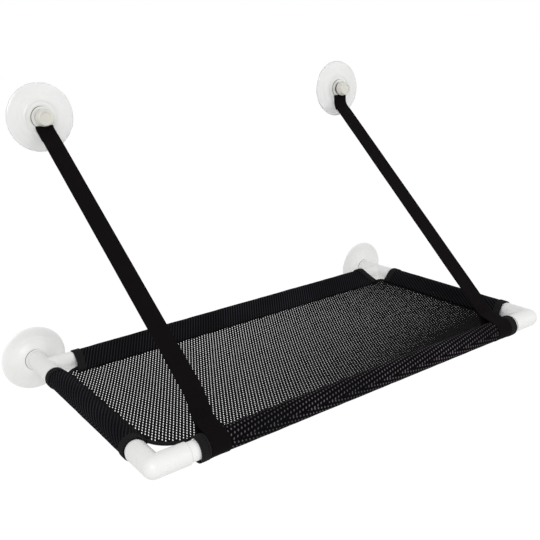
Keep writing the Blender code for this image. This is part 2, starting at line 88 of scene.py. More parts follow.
class PerchFrameSizes(bpy.types.PropertyGroup):
    """Sizes of the tubes and of the push-fit fittings."""

    width: length_setting("Width", 0.550, "Between the axes of the two side tubes")
    front_axis: length_setting("Front axis", -0.322, "Y of the front tube's axis")
    rear_axis: length_setting("Rear axis", -0.041, "Y of the rear tube's axis")
    tube_radius: length_setting("Tube radius", 0.010, "Outer radius of a tube")
    tube_bore: length_setting("Tube bore", 0.0085, "Inner radius of a tube")
    fitting_radius: length_setting("Fitting radius", 0.0114, "Outer radius of an elbow or a tee's run")
    branch_radius: length_setting("Branch radius", 0.0112, "Outer radius of a tee's branch")
    socket_radius: length_setting("Socket radius", 0.0103, "Inner radius of a fitting's sockets")
    elbow_arm: length_setting("Elbow arm", 0.035, "From an elbow's corner to its rims")
    elbow_stop: length_setting("Elbow stop", 0.015, "From an elbow's corner to the ends of its sockets")
    tee_run_half: length_setting("Tee half run", 0.030, "From a tee's middle to the ends of its run")
    tee_branch: length_setting("Tee branch", 0.034, "From a tee's middle to the rim of its branch")
    tee_stop: length_setting("Tee stop", 0.013, "From a tee's middle to the ends of its sockets")
    edge_round: length_setting("Edge round", 0.00025, "Rounding of the moulded rims")
    facets: IntProperty(name="Facets", default=72, description="Facets round a tube or fitting")


class PerchClothSizes(bpy.types.PropertyGroup):
    """Sizes of the bed's mesh cloth, its sleeves, hems and tapes."""

    shift: length_setting("Shift", 0.00425, "How far the straps sit to the right on the frame")
    front_shift: length_setting("Front sleeve shift", 0.0023, "How far the front sleeve sits to the right")
    sleeve_radius: length_setting("Sleeve radius", 0.0113, "Outer radius of a sleeve on its tube")
    squeezed_radius: length_setting("Squeezed radius", 0.0110, "Outer radius under a strap's loop")
    thickness: length_setting("Cloth thickness", 0.0009, "Thickness of a sleeve's cloth")
    front_half: length_setting("Front sleeve half", 0.2329, "Half the front sleeve's length")
    rear_half: length_setting("Rear sleeve half", 0.2397, "Half the rear sleeve's length")
    side_rear: length_setting("Side sleeve rear", -0.0742, "Y of the side sleeves' rear ends")
    left_front: length_setting("Left sleeve front", -0.2835, "Y of the left sleeve's front end")
    right_front: length_setting("Right sleeve front", -0.2857, "Y of the right sleeve's front end")
    left_slant: length_setting("Left sleeve's slant", 0.0125, "How far its front draws back at the seam")
    right_slant: length_setting("Right sleeve's slant", -0.005, "How far its front draws back at the seam")
    rear_slant: length_setting("Rear sleeve's slant", -0.006, "How far its ends draw back at the seam")
    front_seam: length_setting("Front seam", 0.025, "From the front tube's axis to the seam")
    rear_seam: length_setting("Rear seam", 0.030, "From the rear tube's axis to the seam")
    side_seam: length_setting("Side seam", 0.020, "From a side tube's axis to the seam")
    edge_drop: length_setting("Edge drop", 0.004, "How far the bed's edge lies below the tubes' axes")
    sag: length_setting("Sag", 0.009, "How far the middle of the bed hangs below its edge")
    row_pitch: length_setting("Row pitch", 0.00345, "Between two rows of holes in the mesh")
    hole_pitch: length_setting("Hole pitch", 0.0056, "Between two holes of a row")
    row_angle: angle_setting("Row angle", 29.5, "Turn of the rows from the Y axis towards the X axis")
    hole_length: length_setting("Hole length", 0.0048, "Length of a hole along its row")
    hole_width: length_setting("Hole width", 0.0012, "Width of a hole at its middle")
    hole_tilt: angle_setting("Hole tilt", 5.5, "Turn of each hole from its row towards the Y axis")
    hole_tip: length_setting("Hole tip", 0.0005, "Width of a hole at its ends")
    row_drift: length_setting("Row drift", 0.0001, "How far the rows wander")
    net_thickness: length_setting("Net thickness", 0.0008, "Thickness of the bed's mesh")
    hem_width: length_setting("Hem width", 0.010, "Width of the turned hems")
    front_hem_lift: length_setting("Front hem lift", 0.0006, "How far the front hems lie off their sleeve")
    hem_lift: length_setting("Hem lift", 0.0005, "How far the other hems lie off their sleeves")
    side_hem_depth: length_setting("Side hem depth", 0.0006, "Depth of the side hems' sewn grooves")
    rear_margin: length_setting("Rear margin", 0.0062, "How far the mesh goes on under the rear sleeve")
    tape_width: length_setting("Tape width", 0.005, "Width of the corner tapes")
    tape_thickness: length_setting("Tape thickness", 0.0022, "Thickness of the corner tapes")
    left_tape_radius: length_setting("Left tape radius", 0.0341, "Radius of the left front corner's tape")
    right_tape_radius: length_setting("Right tape radius", 0.018, "Radius of the right front corner's tape")
    left_tape_inset: length_setting("Left tape inset", 0.0042, "How far that tape lies off the front seam")
    right_tape_inset: length_setting("Right tape inset", 0.0, "How far that tape lies off the front seam")


class PerchStrapSizes(bpy.types.PropertyGroup):
    """Sizes and places of the two webbing straps."""

    left_width: length_setting("Left width", 0.0213, "Width of the left webbing")
    right_width: length_setting("Right width", 0.0243, "Width of the right webbing")
    inset: length_setting("Inset", 0.0007, "How far the webbing sits in from the middle of its cup")
    top_width: length_setting("Width at the top", 0.0205, "Width of the webbing's doubled end")
    thickness: length_setting("Thickness", 0.0016, "Thickness of one layer of webbing")
    at_rail: length_setting("At the rail", 0.209, "From the bed's middle to a strap, at the front tube")
    left_foot: length_setting("Left foot", 0.005, "How far the left loop sits out from its strap's line")
    right_foot: length_setting("Right foot", 0.0, "How far the right loop sits out from its strap's line")
    foot_start: length_setting("Foot start", 0.018, "From the front tube's axis to the foot's bend")
    foot_length: length_setting("Foot length", 0.044, "Length of the foot's bend")
    off_glass: length_setting("Off the glass", 0.009, "From the glass to the webbing at its cup")
    top_edge: length_setting("Top edge", 0.2815, "Height of the fold at the webbing's doubled end")
    left_bend: length_setting("Left bend", 0.2785, "Height of the bend below the left cup")
    right_bend: length_setting("Right bend", 0.267, "Height of the bend below the right cup")
    left_round: length_setting("Left bend radius", 0.003, "Radius of the bend below the left cup")
    right_round: length_setting("Right bend radius", 0.014, "Radius of the bend below the right cup")
    fold_length: length_setting("Fold length", 0.021, "Length of the end that is folded behind")
    tab_radius: length_setting("Tab radius", 0.0092, "Radius of the round tab on the cup's neck")
    tab_root: length_setting("Tab root", 0.009, "Width of the tab where the webbing holds it")
    loop_radius: length_setting("Loop radius", 0.0119, "Radius of the loop round the front sleeve")
    loop_reach: length_setting("Loop reach", 0.026, "From the front tube's axis to the loop's seam")
    seam_length: length_setting("Seam length", 0.014, "Length of the sewn overlap above the loop")
    buttonhole: length_setting("Buttonhole", 0.0066, "Radius of the hole round the cup's neck")


class PerchCupSizes(bpy.types.PropertyGroup):
    """Sizes of the suction cups."""

    radius: length_setting("Radius", 0.040, "Radius of a cup's lip")
    dome_radius: length_setting("Dome radius", 0.013, "Radius of a lower cup's thick middle")
    dome_height: length_setting("Dome height", 0.0084, "From the glass to the top of that middle")
    boss_radius: length_setting("Boss radius", 0.0125, "Radius of an upper cup's thick middle")
    boss_height: length_setting("Boss height", 0.0062, "From the glass to the top of that middle")
    neck_radius: length_setting("Neck radius", 0.006, "Radius of the neck that carries a strap")
    neck_end: length_setting("Neck end", 0.0104, "From the glass to the end of the neck")
    head_radius: length_setting("Head radius", 0.0103, "Radius of the round head")
    face_radius: length_setting("Face radius", 0.0087, "Radius of the head's front face")
    head_end: length_setting("Head end", 0.0205, "From the glass to the face of the head")
    plug_radius: length_setting("Plug radius", 0.0099, "Radius of the plug in a tee")
    plug_end: length_setting("Plug end", 0.0265, "From the glass to the end of the plug")
    upper_height: length_setting("Upper height", 0.2905, "Height of the upper cups")
    upper_half: length_setting("Upper half", 0.2278, "Half the distance between the upper cups")
    upper_shift: length_setting("Upper shift", 0.002, "How far the upper cups sit to the right")
    facets: IntProperty(name="Facets", default=96, description="Facets round a cup")


class PerchColours(bpy.types.PropertyGroup):
    """Colours of the perch's finishes."""

    plastic: colour_setting("Plastic", (0.85, 0.85, 0.84), "Tubes, elbows and tees")
    cloth: colour_setting("Cloth", (0.0026, 0.0024, 0.0028), "Yarn of the mesh cloth")
    cloth_dots: colour_setting("Cloth dots", (0.150, 0.126, 0.152), "Holes of the front sleeve's cloth")
    cloth_ribs: colour_setting("Cloth ribs", (0.024, 0.024, 0.030), "Ribs of the other sleeves' cloth")
    tape: colour_setting("Tape", (0.009, 0.009, 0.010), "Hems and corner tapes")
    webbing: colour_setting("Webbing", (0.0060, 0.0046, 0.0052), "Straps")
    clear_vinyl: colour_setting("Clear vinyl", (0.94, 0.94, 0.935), "Discs of the upper cups")
    clear_middle: colour_setting("Clear middle", (0.925, 0.925, 0.905), "Thick middles of the upper cups")
    # Painted shadow: a dark line round the upper cups' thick middles, deepest at their upper left
    painted_shadow_line: colour_setting("Painted shadow line", (0.06, 0.06, 0.045), "Dark line round those middles")
    knob_vinyl: colour_setting("Knob vinyl", (0.94, 0.925, 0.85), "Necks and heads of the upper cups")
    milky_vinyl: colour_setting("Milky vinyl", (0.85, 0.85, 0.84), "Lower cups")
    # Painted shadow: a dark line round the lower cups' thick middles, deepest at their upper left
    milky_painted_shadow_line: colour_setting("Milky groove", (0.22, 0.215, 0.20), "Line round the lower cups' middles")


class PerchStageSettings(bpy.types.PropertyGroup):
    """The camera, floor and light."""

    camera_place: FloatVectorProperty(
        name="Camera place",
        default=(-0.5159, -0.8637, 0.3613),
        description="Where the camera stands",
        subtype="TRANSLATION",
        unit="LENGTH",
        size=3,
    )
    camera_turn: FloatVectorProperty(
        name="Camera turn",
        default=(1.26966, 0.046676, -0.626835),
        description="How the camera is turned",
        subtype="EULER",
        size=3,
    )
    focal_length: FloatProperty(
        name="Focal length", default=48.863, description="Focal length on a 36 mm sensor", unit="CAMERA"
    )
    floor_height: length_setting("Floor height", -0.60, "Height of the floor")
    world_strength: FloatProperty(name="World", default=0.64, description="Strength of the light all round")
    key_power: FloatProperty(name="Key", default=29.0, description="Power of the key lamp", unit="POWER")
    fill_power: FloatProperty(name="Fill", default=6.0, description="Power of the fill lamp", unit="POWER")


SETTINGS = {
    "perch_frame": PerchFrameSizes,
    "perch_cloth": PerchClothSizes,
    "perch_strap": PerchStrapSizes,
    "perch_cup": PerchCupSizes,
    "perch_colours": PerchColours,
    "perch_stage": PerchStageSettings,
}


def on_side(sizes, side, name):
    """The left or the right one of a pair of settings."""
    return getattr(sizes, ("left_" if side < 0 else "right_") + name)


# Shader nodes


def add_node(tree, kind, inputs=(), **settings):
    """Adds a node. inputs pairs a socket's name or number with a value or another socket."""
    node = tree.nodes.new(kind)
    for name, value in settings.items():
        setattr(node, name, value)
    for key, value in dict(inputs).items():
        if isinstance(value, bpy.types.NodeSocket):
            tree.links.new(value, node.inputs[key])
        else:
            node.inputs[key].default_value = value
    return node


def calculate(tree, operation, *values):
    """The output of a Math node."""
    return add_node(tree, "ShaderNodeMath", enumerate(values), operation=operation).outputs[0]


def ramp(tree, value, start, end, low=0.0, high=1.0):
    """A smooth step from low to high as value goes from start to end."""
    inputs = {"Value": value, "From Min": start, "From Max": end, "To Min": low, "To Max": high}
    return add_node(tree, "ShaderNodeMapRange", inputs, interpolation_type="SMOOTHSTEP").outputs[0]


def mix_colours(tree, factor, first, second):
    """A mix of two colours, each a socket or three numbers."""
    ends = [end if isinstance(end, bpy.types.NodeSocket) else (*end, 1.0) for end in (first, second)]
    return add_node(tree, "ShaderNodeMix", {0: factor, 6: ends[0], 7: ends[1]}, data_type="RGBA").outputs[2]


def scale_colour(tree, colour, share):
    return add_node(tree, "ShaderNodeVectorMath", {0: colour, 3: share}, operation="SCALE").outputs[0]


def made_once(kept, name, build):
    """The material or node group of that name, built the first time."""
    return kept.get(name) or build(name)


def start_group(name, inputs, outputs):
    """A new shader node group. inputs and outputs pair names with socket types and defaults."""
    group = bpy.data.node_groups.new(name, "ShaderNodeTree")
    for label, kind, default in inputs:
        socket = group.interface.new_socket(label, in_out="INPUT", socket_type=kind)
        if default is not None:
            socket.default_value = default
    for label, kind in outputs:
        group.interface.new_socket(label, in_out="OUTPUT", socket_type=kind)
    return group, group.nodes.new("NodeGroupInput").outputs, group.nodes.new("NodeGroupOutput").inputs


def speckle_group(name):
    """Uneven colour and a fine grain, for every finish."""
    group, given, made = start_group(
        name,
        [
            ("Vector", "NodeSocketVector", None),
            ("Colour", "NodeSocketColor", (0.5, 0.5, 0.5, 1.0)),
            ("Patch Size", "NodeSocketFloat", 0.04),
            ("Grain Size", "NodeSocketFloat", 0.001),
            ("Amount", "NodeSocketFloat", 0.1),
        ],
        [("Colour", "NodeSocketColor"), ("Grain", "NodeSocketFloat")],
    )
    noises = []
    for size in ("Patch Size", "Grain Size"):
        inputs = {"Vector": given["Vector"], "Scale": calculate(group, "DIVIDE", 1.0, given[size])}
        noises.append(add_node(group, "ShaderNodeTexNoise", inputs).outputs[0])
    spread = calculate(group, "SUBTRACT", calculate(group, "ADD", *noises), 1.0)
    value = calculate(group, "MULTIPLY_ADD", spread, given["Amount"], 1.0)
    group.links.new(scale_colour(group, given["Colour"], value), made["Colour"])
    group.links.new(noises[1], made["Grain"])
    return group


def knit_group(name):
    """The staggered holes of the mesh cloth, from a position on the cloth in metres."""
    group, given, made = start_group(
        name,
        [
            ("Vector", "NodeSocketVector", None),
            ("Row Pitch", "NodeSocketFloat", 0.00345),
            ("Hole Pitch", "NodeSocketFloat", 0.0056),
            ("Hole Size", "NodeSocketFloat", 0.36),
            ("Break", "NodeSocketFloat", 1.0),
        ],
        [("Hole", "NodeSocketFloat"), ("Height", "NodeSocketFloat")],
    )
    place = add_node(group, "ShaderNodeSeparateXYZ", {0: given["Vector"]}).outputs
    across = calculate(group, "DIVIDE", place[0], given["Row Pitch"])
    along = calculate(group, "DIVIDE", place[1], given["Hole Pitch"])
    odd = calculate(group, "FLOORED_MODULO", calculate(group, "FLOOR", across), 2.0)
    along = calculate(group, "MULTIPLY_ADD", odd, 0.5, along)
    across = calculate(group, "SUBTRACT", calculate(group, "FRACT", across), 0.5)
    along = calculate(group, "SUBTRACT", calculate(group, "FRACT", along), 0.5)
    across = calculate(group, "MULTIPLY", across, across)
    along = calculate(group, "MULTIPLY", calculate(group, "MULTIPLY", along, along), given["Break"])
    distance = calculate(group, "SQRT", calculate(group, "ADD", across, along))
    rim = calculate(group, "ADD", given["Hole Size"], 0.14)
    hole = ramp(group, distance, given["Hole Size"], rim, 1.0, 0.0)
    group.links.new(hole, made["Hole"])
    group.links.new(calculate(group, "SUBTRACT", 1.0, hole), made["Height"])
    return group


def rib_group(name):
    """Fine ribs along one axis, broken by a second set across them, as in tape and webbing."""
    group, given, made = start_group(
        name,
        [
            ("Vector", "NodeSocketVector", None),
            ("Rib Pitch", "NodeSocketFloat", 0.001),
            ("Cross Pitch", "NodeSocketFloat", 0.001),
        ],
        [("Height", "NodeSocketFloat")],
    )
    place = add_node(group, "ShaderNodeSeparateXYZ", {0: given["Vector"]}).outputs
    waves = []
    for axis, pitch in ((0, "Rib Pitch"), (1, "Cross Pitch")):
        turns = calculate(group, "DIVIDE", place[axis], given[pitch])
        wave = calculate(group, "SINE", calculate(group, "MULTIPLY", turns, 2 * math.pi))
        waves.append(calculate(group, "MULTIPLY_ADD", wave, 0.5, 0.5))
    height = calculate(group, "MULTIPLY_ADD", waves[0], 0.45, calculate(group, "MULTIPLY", waves[1], 0.55))
    group.links.new(height, made["Height"])
    return group


def start_material(name, roughness, specular=0.5):
    """A material with a Principled shader, its node tree and that shader."""
    material = bpy.data.materials.new(name)
    material.use_nodes = True
    shader = material.node_tree.nodes["Principled BSDF"]
    shader.inputs["Roughness"].default_value = roughness
    shader.inputs["Metallic"].default_value = 0.0
    shader.inputs["Specular IOR Level"].default_value = specular
    return material, material.node_tree, shader


def cloth_place(tree):
    """A piece's own UV position, in metres."""
    return add_node(tree, "ShaderNodeUVMap", uv_map="Cloth").outputs[0]


def add_group(tree, name, build, inputs):
    """The outputs of a shared node group, placed with these inputs."""
    group = made_once(bpy.data.node_groups, name, build)
    return add_node(tree, "ShaderNodeGroup", inputs, node_tree=group).outputs


def add_grain(tree, place, colour, patch, grain, amount):
    """The colour made uneven, and the grain, from the sizes of patches and grains in metres."""
    inputs = {"Vector": place, "Colour": (*colour, 1.0), "Amount": amount}
    inputs |= {"Patch Size": patch, "Grain Size": grain}
    return add_group(tree, "Uneven grain", speckle_group, inputs)


def add_bump(tree, shader, height, distance, strength):
    inputs = {"Height": height, "Distance": distance, "Strength": strength}
    node = add_node(tree, "ShaderNodeBump", inputs)
    tree.links.new(node.outputs[0], shader.inputs["Normal"])


def plastic_material():
    """Moulded white plastic: satin, a little uneven, with faint mould grain."""

    def build(name):
        material, tree, shader = start_material(name, 0.34, 0.45)
        place = add_node(tree, "ShaderNodeTexCoord").outputs["Object"]
        grain = add_grain(tree, place, bpy.context.scene.perch_colours.plastic, 0.05, 0.0012, 0.05)
        tree.links.new(grain["Colour"], shader.inputs["Base Color"])
        rough = ramp(tree, grain["Grain"], 0.3, 0.7, 0.30, 0.42)
        tree.links.new(rough, shader.inputs["Roughness"])
        add_bump(tree, shader, grain["Grain"], 0.0001, 0.12)
        return material

    return made_once(bpy.data.materials, "Moulded white plastic", build)


def sleeve_material(dotted):
    """Doubled black mesh cloth: dotted where it is pulled open, else ribbed along its rows."""

    def build(name):
        colours = bpy.context.scene.perch_colours
        cloth = bpy.context.scene.perch_cloth
        material, tree, shader = start_material(name, 0.9, 0.03)
        inputs = {"Vector": cloth_place(tree), "Rotation": (0.0, 0.0, cloth.row_angle)}
        place = add_node(tree, "ShaderNodeMapping", inputs).outputs[0]
        inputs = {"Vector": place, "Row Pitch": cloth.row_pitch, "Hole Pitch": cloth.hole_pitch}
        inputs["Hole Size"] = 0.13 if dotted else 0.12
        inputs["Break"] = 1.0 if dotted else 0.06
        knit = add_group(tree, "Knit holes", knit_group, inputs)
        grain = add_grain(tree, place, colours.cloth, 0.03, 0.0008, 0.5)
        patchy = add_node(tree, "ShaderNodeTexNoise", {"Vector": place, "Scale": 14.0}).outputs[0]
        shown = calculate(tree, "MULTIPLY", knit["Hole"], ramp(tree, patchy, 0.38, 0.66, 0.5, 1.0))
        light = colours.cloth_dots if dotted else colours.cloth_ribs
        tree.links.new(mix_colours(tree, shown, grain["Colour"], light), shader.inputs["Base Color"])
        add_bump(tree, shader, knit["Height"], 0.0005, 0.5)
        return material

    return made_once(bpy.data.materials, "Dotted mesh cloth" if dotted else "Ribbed mesh cloth", build)


def yarn_material():
    """The black yarn of the bed's mesh."""

    def build(name):
        material, tree, shader = start_material(name, 0.8, 0.05)
        colour = bpy.context.scene.perch_colours.cloth
        grain = add_grain(tree, cloth_place(tree), colour, 0.02, 0.0005, 0.6)
        tree.links.new(grain["Colour"], shader.inputs["Base Color"])
        add_bump(tree, shader, grain["Grain"], 0.0003, 0.5)
        return material

    return made_once(bpy.data.materials, "Mesh yarn", build)


def woven_material(name, colour, rib, cross, bump, specular):
    """Woven tape or webbing, with ribs across it and finer threads along it; its colour is darker in their
    hollows and lighter on their tops, as painted shade and painted highlight.
    """

    def build(label):
        material, tree, shader = start_material(label, 0.85, specular)
        place = cloth_place(tree)
        inputs = {"Vector": place, "Rib Pitch": rib, "Cross Pitch": cross}
        ribs = add_group(tree, "Woven ribs", rib_group, inputs)["Height"]
        grain = add_grain(tree, place, colour, 0.03, 0.0006, 0.4)
        # Painted shade and painted highlight: the colour is darker in the ribs' hollows and lighter on their
        # tops
        tone = scale_colour(tree, grain["Colour"], ramp(tree, ribs, 0.1, 0.9, 0.6, 1.25))
        tree.links.new(tone, shader.inputs["Base Color"])
        add_bump(tree, shader, ribs, bump, 0.8)
        return material

    return made_once(bpy.data.materials, name, build)


def webbing_material():
    colour = bpy.context.scene.perch_colours.webbing
    return woven_material("Strap webbing", colour, 0.0019, 0.0011, 0.0003, 0.03)


def tape_material():
    colour = bpy.context.scene.perch_colours.tape
    return woven_material("Binding tape", colour, 0.0012, 0.0008, 0.0002, 0.12)


def painted_shadow_line_mask(tree, place, reach, foot):
    """1 on a thin line of painted shadow round a cup's thick middle, deepest at its upper left where the
    shade falls.
    """
    inputs = {0: place, 1: (-0.93, 0.37, 0.0)}
    outer = ramp(tree, reach, foot + 0.0006, foot + 0.0011, 1.0, 0.0)
    line = calculate(tree, "MULTIPLY", outer, ramp(tree, reach, foot - 0.0002, foot + 0.0002))
    lean = add_node(tree, "ShaderNodeVectorMath", inputs, operation="DOT_PRODUCT").outputs[1]
    side = ramp(tree, calculate(tree, "DIVIDE", lean, foot), -0.3, 0.95)
    return calculate(tree, "MULTIPLY", line, side)


def vinyl_material(name, colour, middle, roughness, transmission, painted_shadow_line=None, foot=0.0):
    """Soft vinyl, deeper in colour towards its thick middle, with a brighter rim and, where one is given, a
    painted shadow line round that middle.

    Its clarity is the shader's own transmission.
    """

    def build(label):
        material, tree, shader = start_material(label, roughness)
        shader.inputs["Transmission Weight"].default_value = transmission
        place = cloth_place(tree)
        grain = add_grain(tree, place, colour, 0.02, 0.004, 0.06)
        reach = add_node(tree, "ShaderNodeVectorMath", {0: place}, operation="LENGTH").outputs[1]
        radius = bpy.context.scene.perch_cup.radius
        thick = ramp(tree, reach, radius * 0.25, radius * 0.62, 1.0, 0.0)
        tone = mix_colours(tree, thick, grain["Colour"], middle)
        rim = ramp(tree, reach, radius * 0.93, radius * 0.985)
        tone = mix_colours(tree, rim, tone, [min(value * 1.08, 1.0) for value in colour])
        if painted_shadow_line:
            # Painted shadow: a dark line round the thick middle's foot, deepest at its upper left
            tone = mix_colours(tree, painted_shadow_line_mask(tree, place, reach, foot), tone, painted_shadow_line)
        tree.links.new(tone, shader.inputs["Base Color"])
        inputs = {"Vector": place, "Scale": 60.0, "Distortion": 1.5}
        swirl = add_node(tree, "ShaderNodeTexNoise", inputs).outputs[0]
        height = calculate(tree, "MULTIPLY_ADD", swirl, 0.8, calculate(tree, "MULTIPLY", grain["Grain"], 0.2))
        add_bump(tree, shader, height, 0.0012, 0.25)
        return material

    return made_once(bpy.data.materials, name, build)


def clear_vinyl():
    colours = bpy.context.scene.perch_colours
    foot = bpy.context.scene.perch_cup.boss_radius
    return vinyl_material(
        "Clear vinyl", colours.clear_vinyl, colours.clear_middle, 0.12, 0.5, colours.painted_shadow_line, foot
    )


def knob_vinyl():
    colour = bpy.context.scene.perch_colours.knob_vinyl
    return vinyl_material("Knob vinyl", colour, colour, 0.04, 0.38)


def milky_vinyl():
    colours = bpy.context.scene.perch_colours
    foot = bpy.context.scene.perch_cup.dome_radius
    return vinyl_material(
        "Milky vinyl", colours.milky_vinyl, colours.milky_vinyl, 0.32, 0.0, colours.milky_painted_shadow_line, foot
    )


# Meshes


def clamped(share):
    return max(min(share, 1.0), 0.0)


def eased(share):
    """A share from 0 to 1, eased at both ends."""
    share = clamped(share)
    return share * share * (3 - 2 * share)


def polar(turn, length):
    """The point (x, y) in that direction from the origin, so far away."""
    return Vector((math.cos(turn), math.sin(turn))) * length


def direction_at(path, index):
    """The unit direction of a line at one of its points."""
    before = path[max(index - 1, 0)]
    after = path[min(index + 1, len(path) - 1)]
    return (after - before).normalized()


def lengths_along(path):
    """The length of a line up to each of its points."""
    lengths = [0.0]
    for before, after in zip(path, path[1:]):
        lengths.append(lengths[-1] + (after - before).length)
    return lengths


def all_parts(bm):
    return bm.verts[:] + bm.edges[:] + bm.faces[:]


def add_uv(bm, place=lambda point: point.xy):
    """A UV in metres, which place gives from a point of the mesh."""
    layer = bm.loops.layers.uv.new("Cloth")
    for face in bm.faces:
        for loop in face.loops:
            loop[layer].uv = place(loop.vert.co)


def turned(profile, centre, axis, facets, phase=0.0):
    """Spins a profile of (radius, along) points right round an axis through centre."""
    bm = bmesh.new()
    axis = Vector(axis).normalized()
    centre = Vector(centre)
    side = Matrix.Rotation(phase, 3, axis) @ Z_AXIS
    verts = [bm.verts.new(centre + side * radius + axis * along) for radius, along in profile]
    edges = [bm.edges.new(pair) for pair in zip(verts, verts[1:])]
    if profile[0][0] > 0 and profile[-1][0] > 0:
        edges.append(bm.edges.new((verts[-1], verts[0])))
    geom = verts + edges
    bmesh.ops.spin(bm, geom=geom, cent=centre, axis=axis, angle=2 * math.pi, steps=facets, use_merge=True)
    bmesh.ops.remove_doubles(bm, verts=bm.verts[:], dist=1e-6)
    bmesh.ops.recalc_face_normals(bm, faces=bm.faces[:])
    return bm


def round_corners(profile, sizes, steps=4):
    """Rounds a profile's corners. sizes pairs a corner's number with its radius."""
    result = []
    for index, point in enumerate(profile):
        if index not in sizes:
            result.append(point)
            continue
        here = Vector(point)
        before = (Vector(profile[index - 1]) - here).normalized()
        after = (Vector(profile[(index + 1) % len(profile)]) - here).normalized()
        half = math.acos(max(min(before.dot(after), 1.0), -1.0)) / 2
        reach = sizes[index] / math.tan(half)
        centre = here + (before + after).normalized() * (sizes[index] / math.sin(half))
        first = here + before * reach - centre
        last = here + after * reach - centre
        turn = first.angle_signed(last)
        for step in range(steps + 1):
            spoke = Matrix.Rotation(-turn * step / steps, 2) @ first
            result.append(tuple(centre + spoke))
    return result


def shaped_grid(columns, rows, place, uv, closed=False):
    """A grid whose points are put in place by place(i, j), with a UV in metres from uv(i, j).

    closed joins its first column to its last and fills the two ends.
    """
    bm = bmesh.new()
    bmesh.ops.create_grid(bm, x_segments=columns, y_segments=rows, size=1.0)
    layer = bm.loops.layers.uv.new("Cloth")

    def numbers(vert):
        return round((vert.co.x + 1) / 2 * columns), round((vert.co.y + 1) / 2 * rows)

    for face in bm.faces:
        for loop in face.loops:
            loop[layer].uv = uv(*numbers(loop.vert))
    for vert in bm.verts:
        vert.co = place(*numbers(vert))
    if closed:
        bmesh.ops.remove_doubles(bm, verts=bm.verts[:], dist=1e-6)
        bmesh.ops.holes_fill(bm, edges=[e for e in bm.edges if e.is_boundary], sides=0)
    bmesh.ops.recalc_face_normals(bm, faces=bm.faces[:])
    return bm


def add_object(name, bm, material=None, sharp_degrees=SHARP_PLASTIC):
    mesh = bpy.data.meshes.new(name)
    bm.to_mesh(mesh)
    bm.free()
    mesh.shade_smooth()
    mesh.set_sharp_from_angle(angle=math.radians(sharp_degrees))
    if material:
        mesh.materials.append(material)
    obj = bpy.data.objects.new(name, mesh)
    bpy.context.scene.collection.objects.link(obj)
    return obj


def apply_modifiers(obj, helpers=(), sharp_degrees=SHARP_PLASTIC):
    """Makes the object's modifiers its own mesh and removes the helpers that they used."""
    bpy.context.view_layer.update()
    evaluated = obj.evaluated_get(bpy.context.evaluated_depsgraph_get())
    mesh = bpy.data.meshes.new_from_object(evaluated)
    obj.modifiers.clear()
    old = obj.data
    obj.data = mesh
    mesh.name = old.name
    bpy.data.meshes.remove(old)
    mesh.shade_smooth()
    mesh.set_sharp_from_angle(angle=math.radians(sharp_degrees))
    for helper in helpers:
        bpy.data.objects.remove(helper, do_unlink=True)


def add_boolean(obj, helper, operation):
    modifier = obj.modifiers.new(helper.name, "BOOLEAN")
    modifier.operation = operation
    modifier.object = helper
    modifier.solver = "EXACT"


def add_thickness(obj, thickness, offset):
    modifier = obj.modifiers.new("Thickness", "SOLIDIFY")
    modifier.thickness = thickness
    modifier.offset = offset
    modifier.use_even_offset = True


def round_edges(obj, width):
    modifier = obj.modifiers.new("Edges", "BEVEL")
    modifier.width = width
    modifier.segments = 2
    modifier.limit_method = "ANGLE"
    modifier.angle_limit = math.radians(60)


def finish_piece(obj, body, slot, *nodes):
    """The piece rides on its body and stands for the nodes, which it hides. The slot is not used."""
    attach(obj, body)
    if nodes:
        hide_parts(*nodes)
    return obj


def box_mesh(low, high):
    bm = bmesh.new()
    bmesh.ops.create_cube(bm, size=1.0)
    low = Vector(low)
    high = Vector(high)
    bmesh.ops.scale(bm, vec=high - low, verts=bm.verts[:])
    bmesh.ops.translate(bm, vec=(low + high) / 2, verts=bm.verts[:])
    return bm


# Frame


def build_tube(name, start, end, node):
    sizes = bpy.context.scene.perch_frame
    start = Vector(start)
    length = (Vector(end) - start).length
    outer = sizes.tube_radius
    inner = sizes.tube_bore
    profile = [(outer, 0), (outer, length), (inner, length), (inner, 0)]
    profile = round_corners(profile, {0: 0.0003, 1: 0.0003, 2: 0.0002, 3: 0.0002}, 2)
    bm = turned(profile, start, Vector(end) - start, sizes.facets)
    obj = add_object(name, bm, plastic_material())
    return finish_piece(obj, "frame", "white_plastic", node)


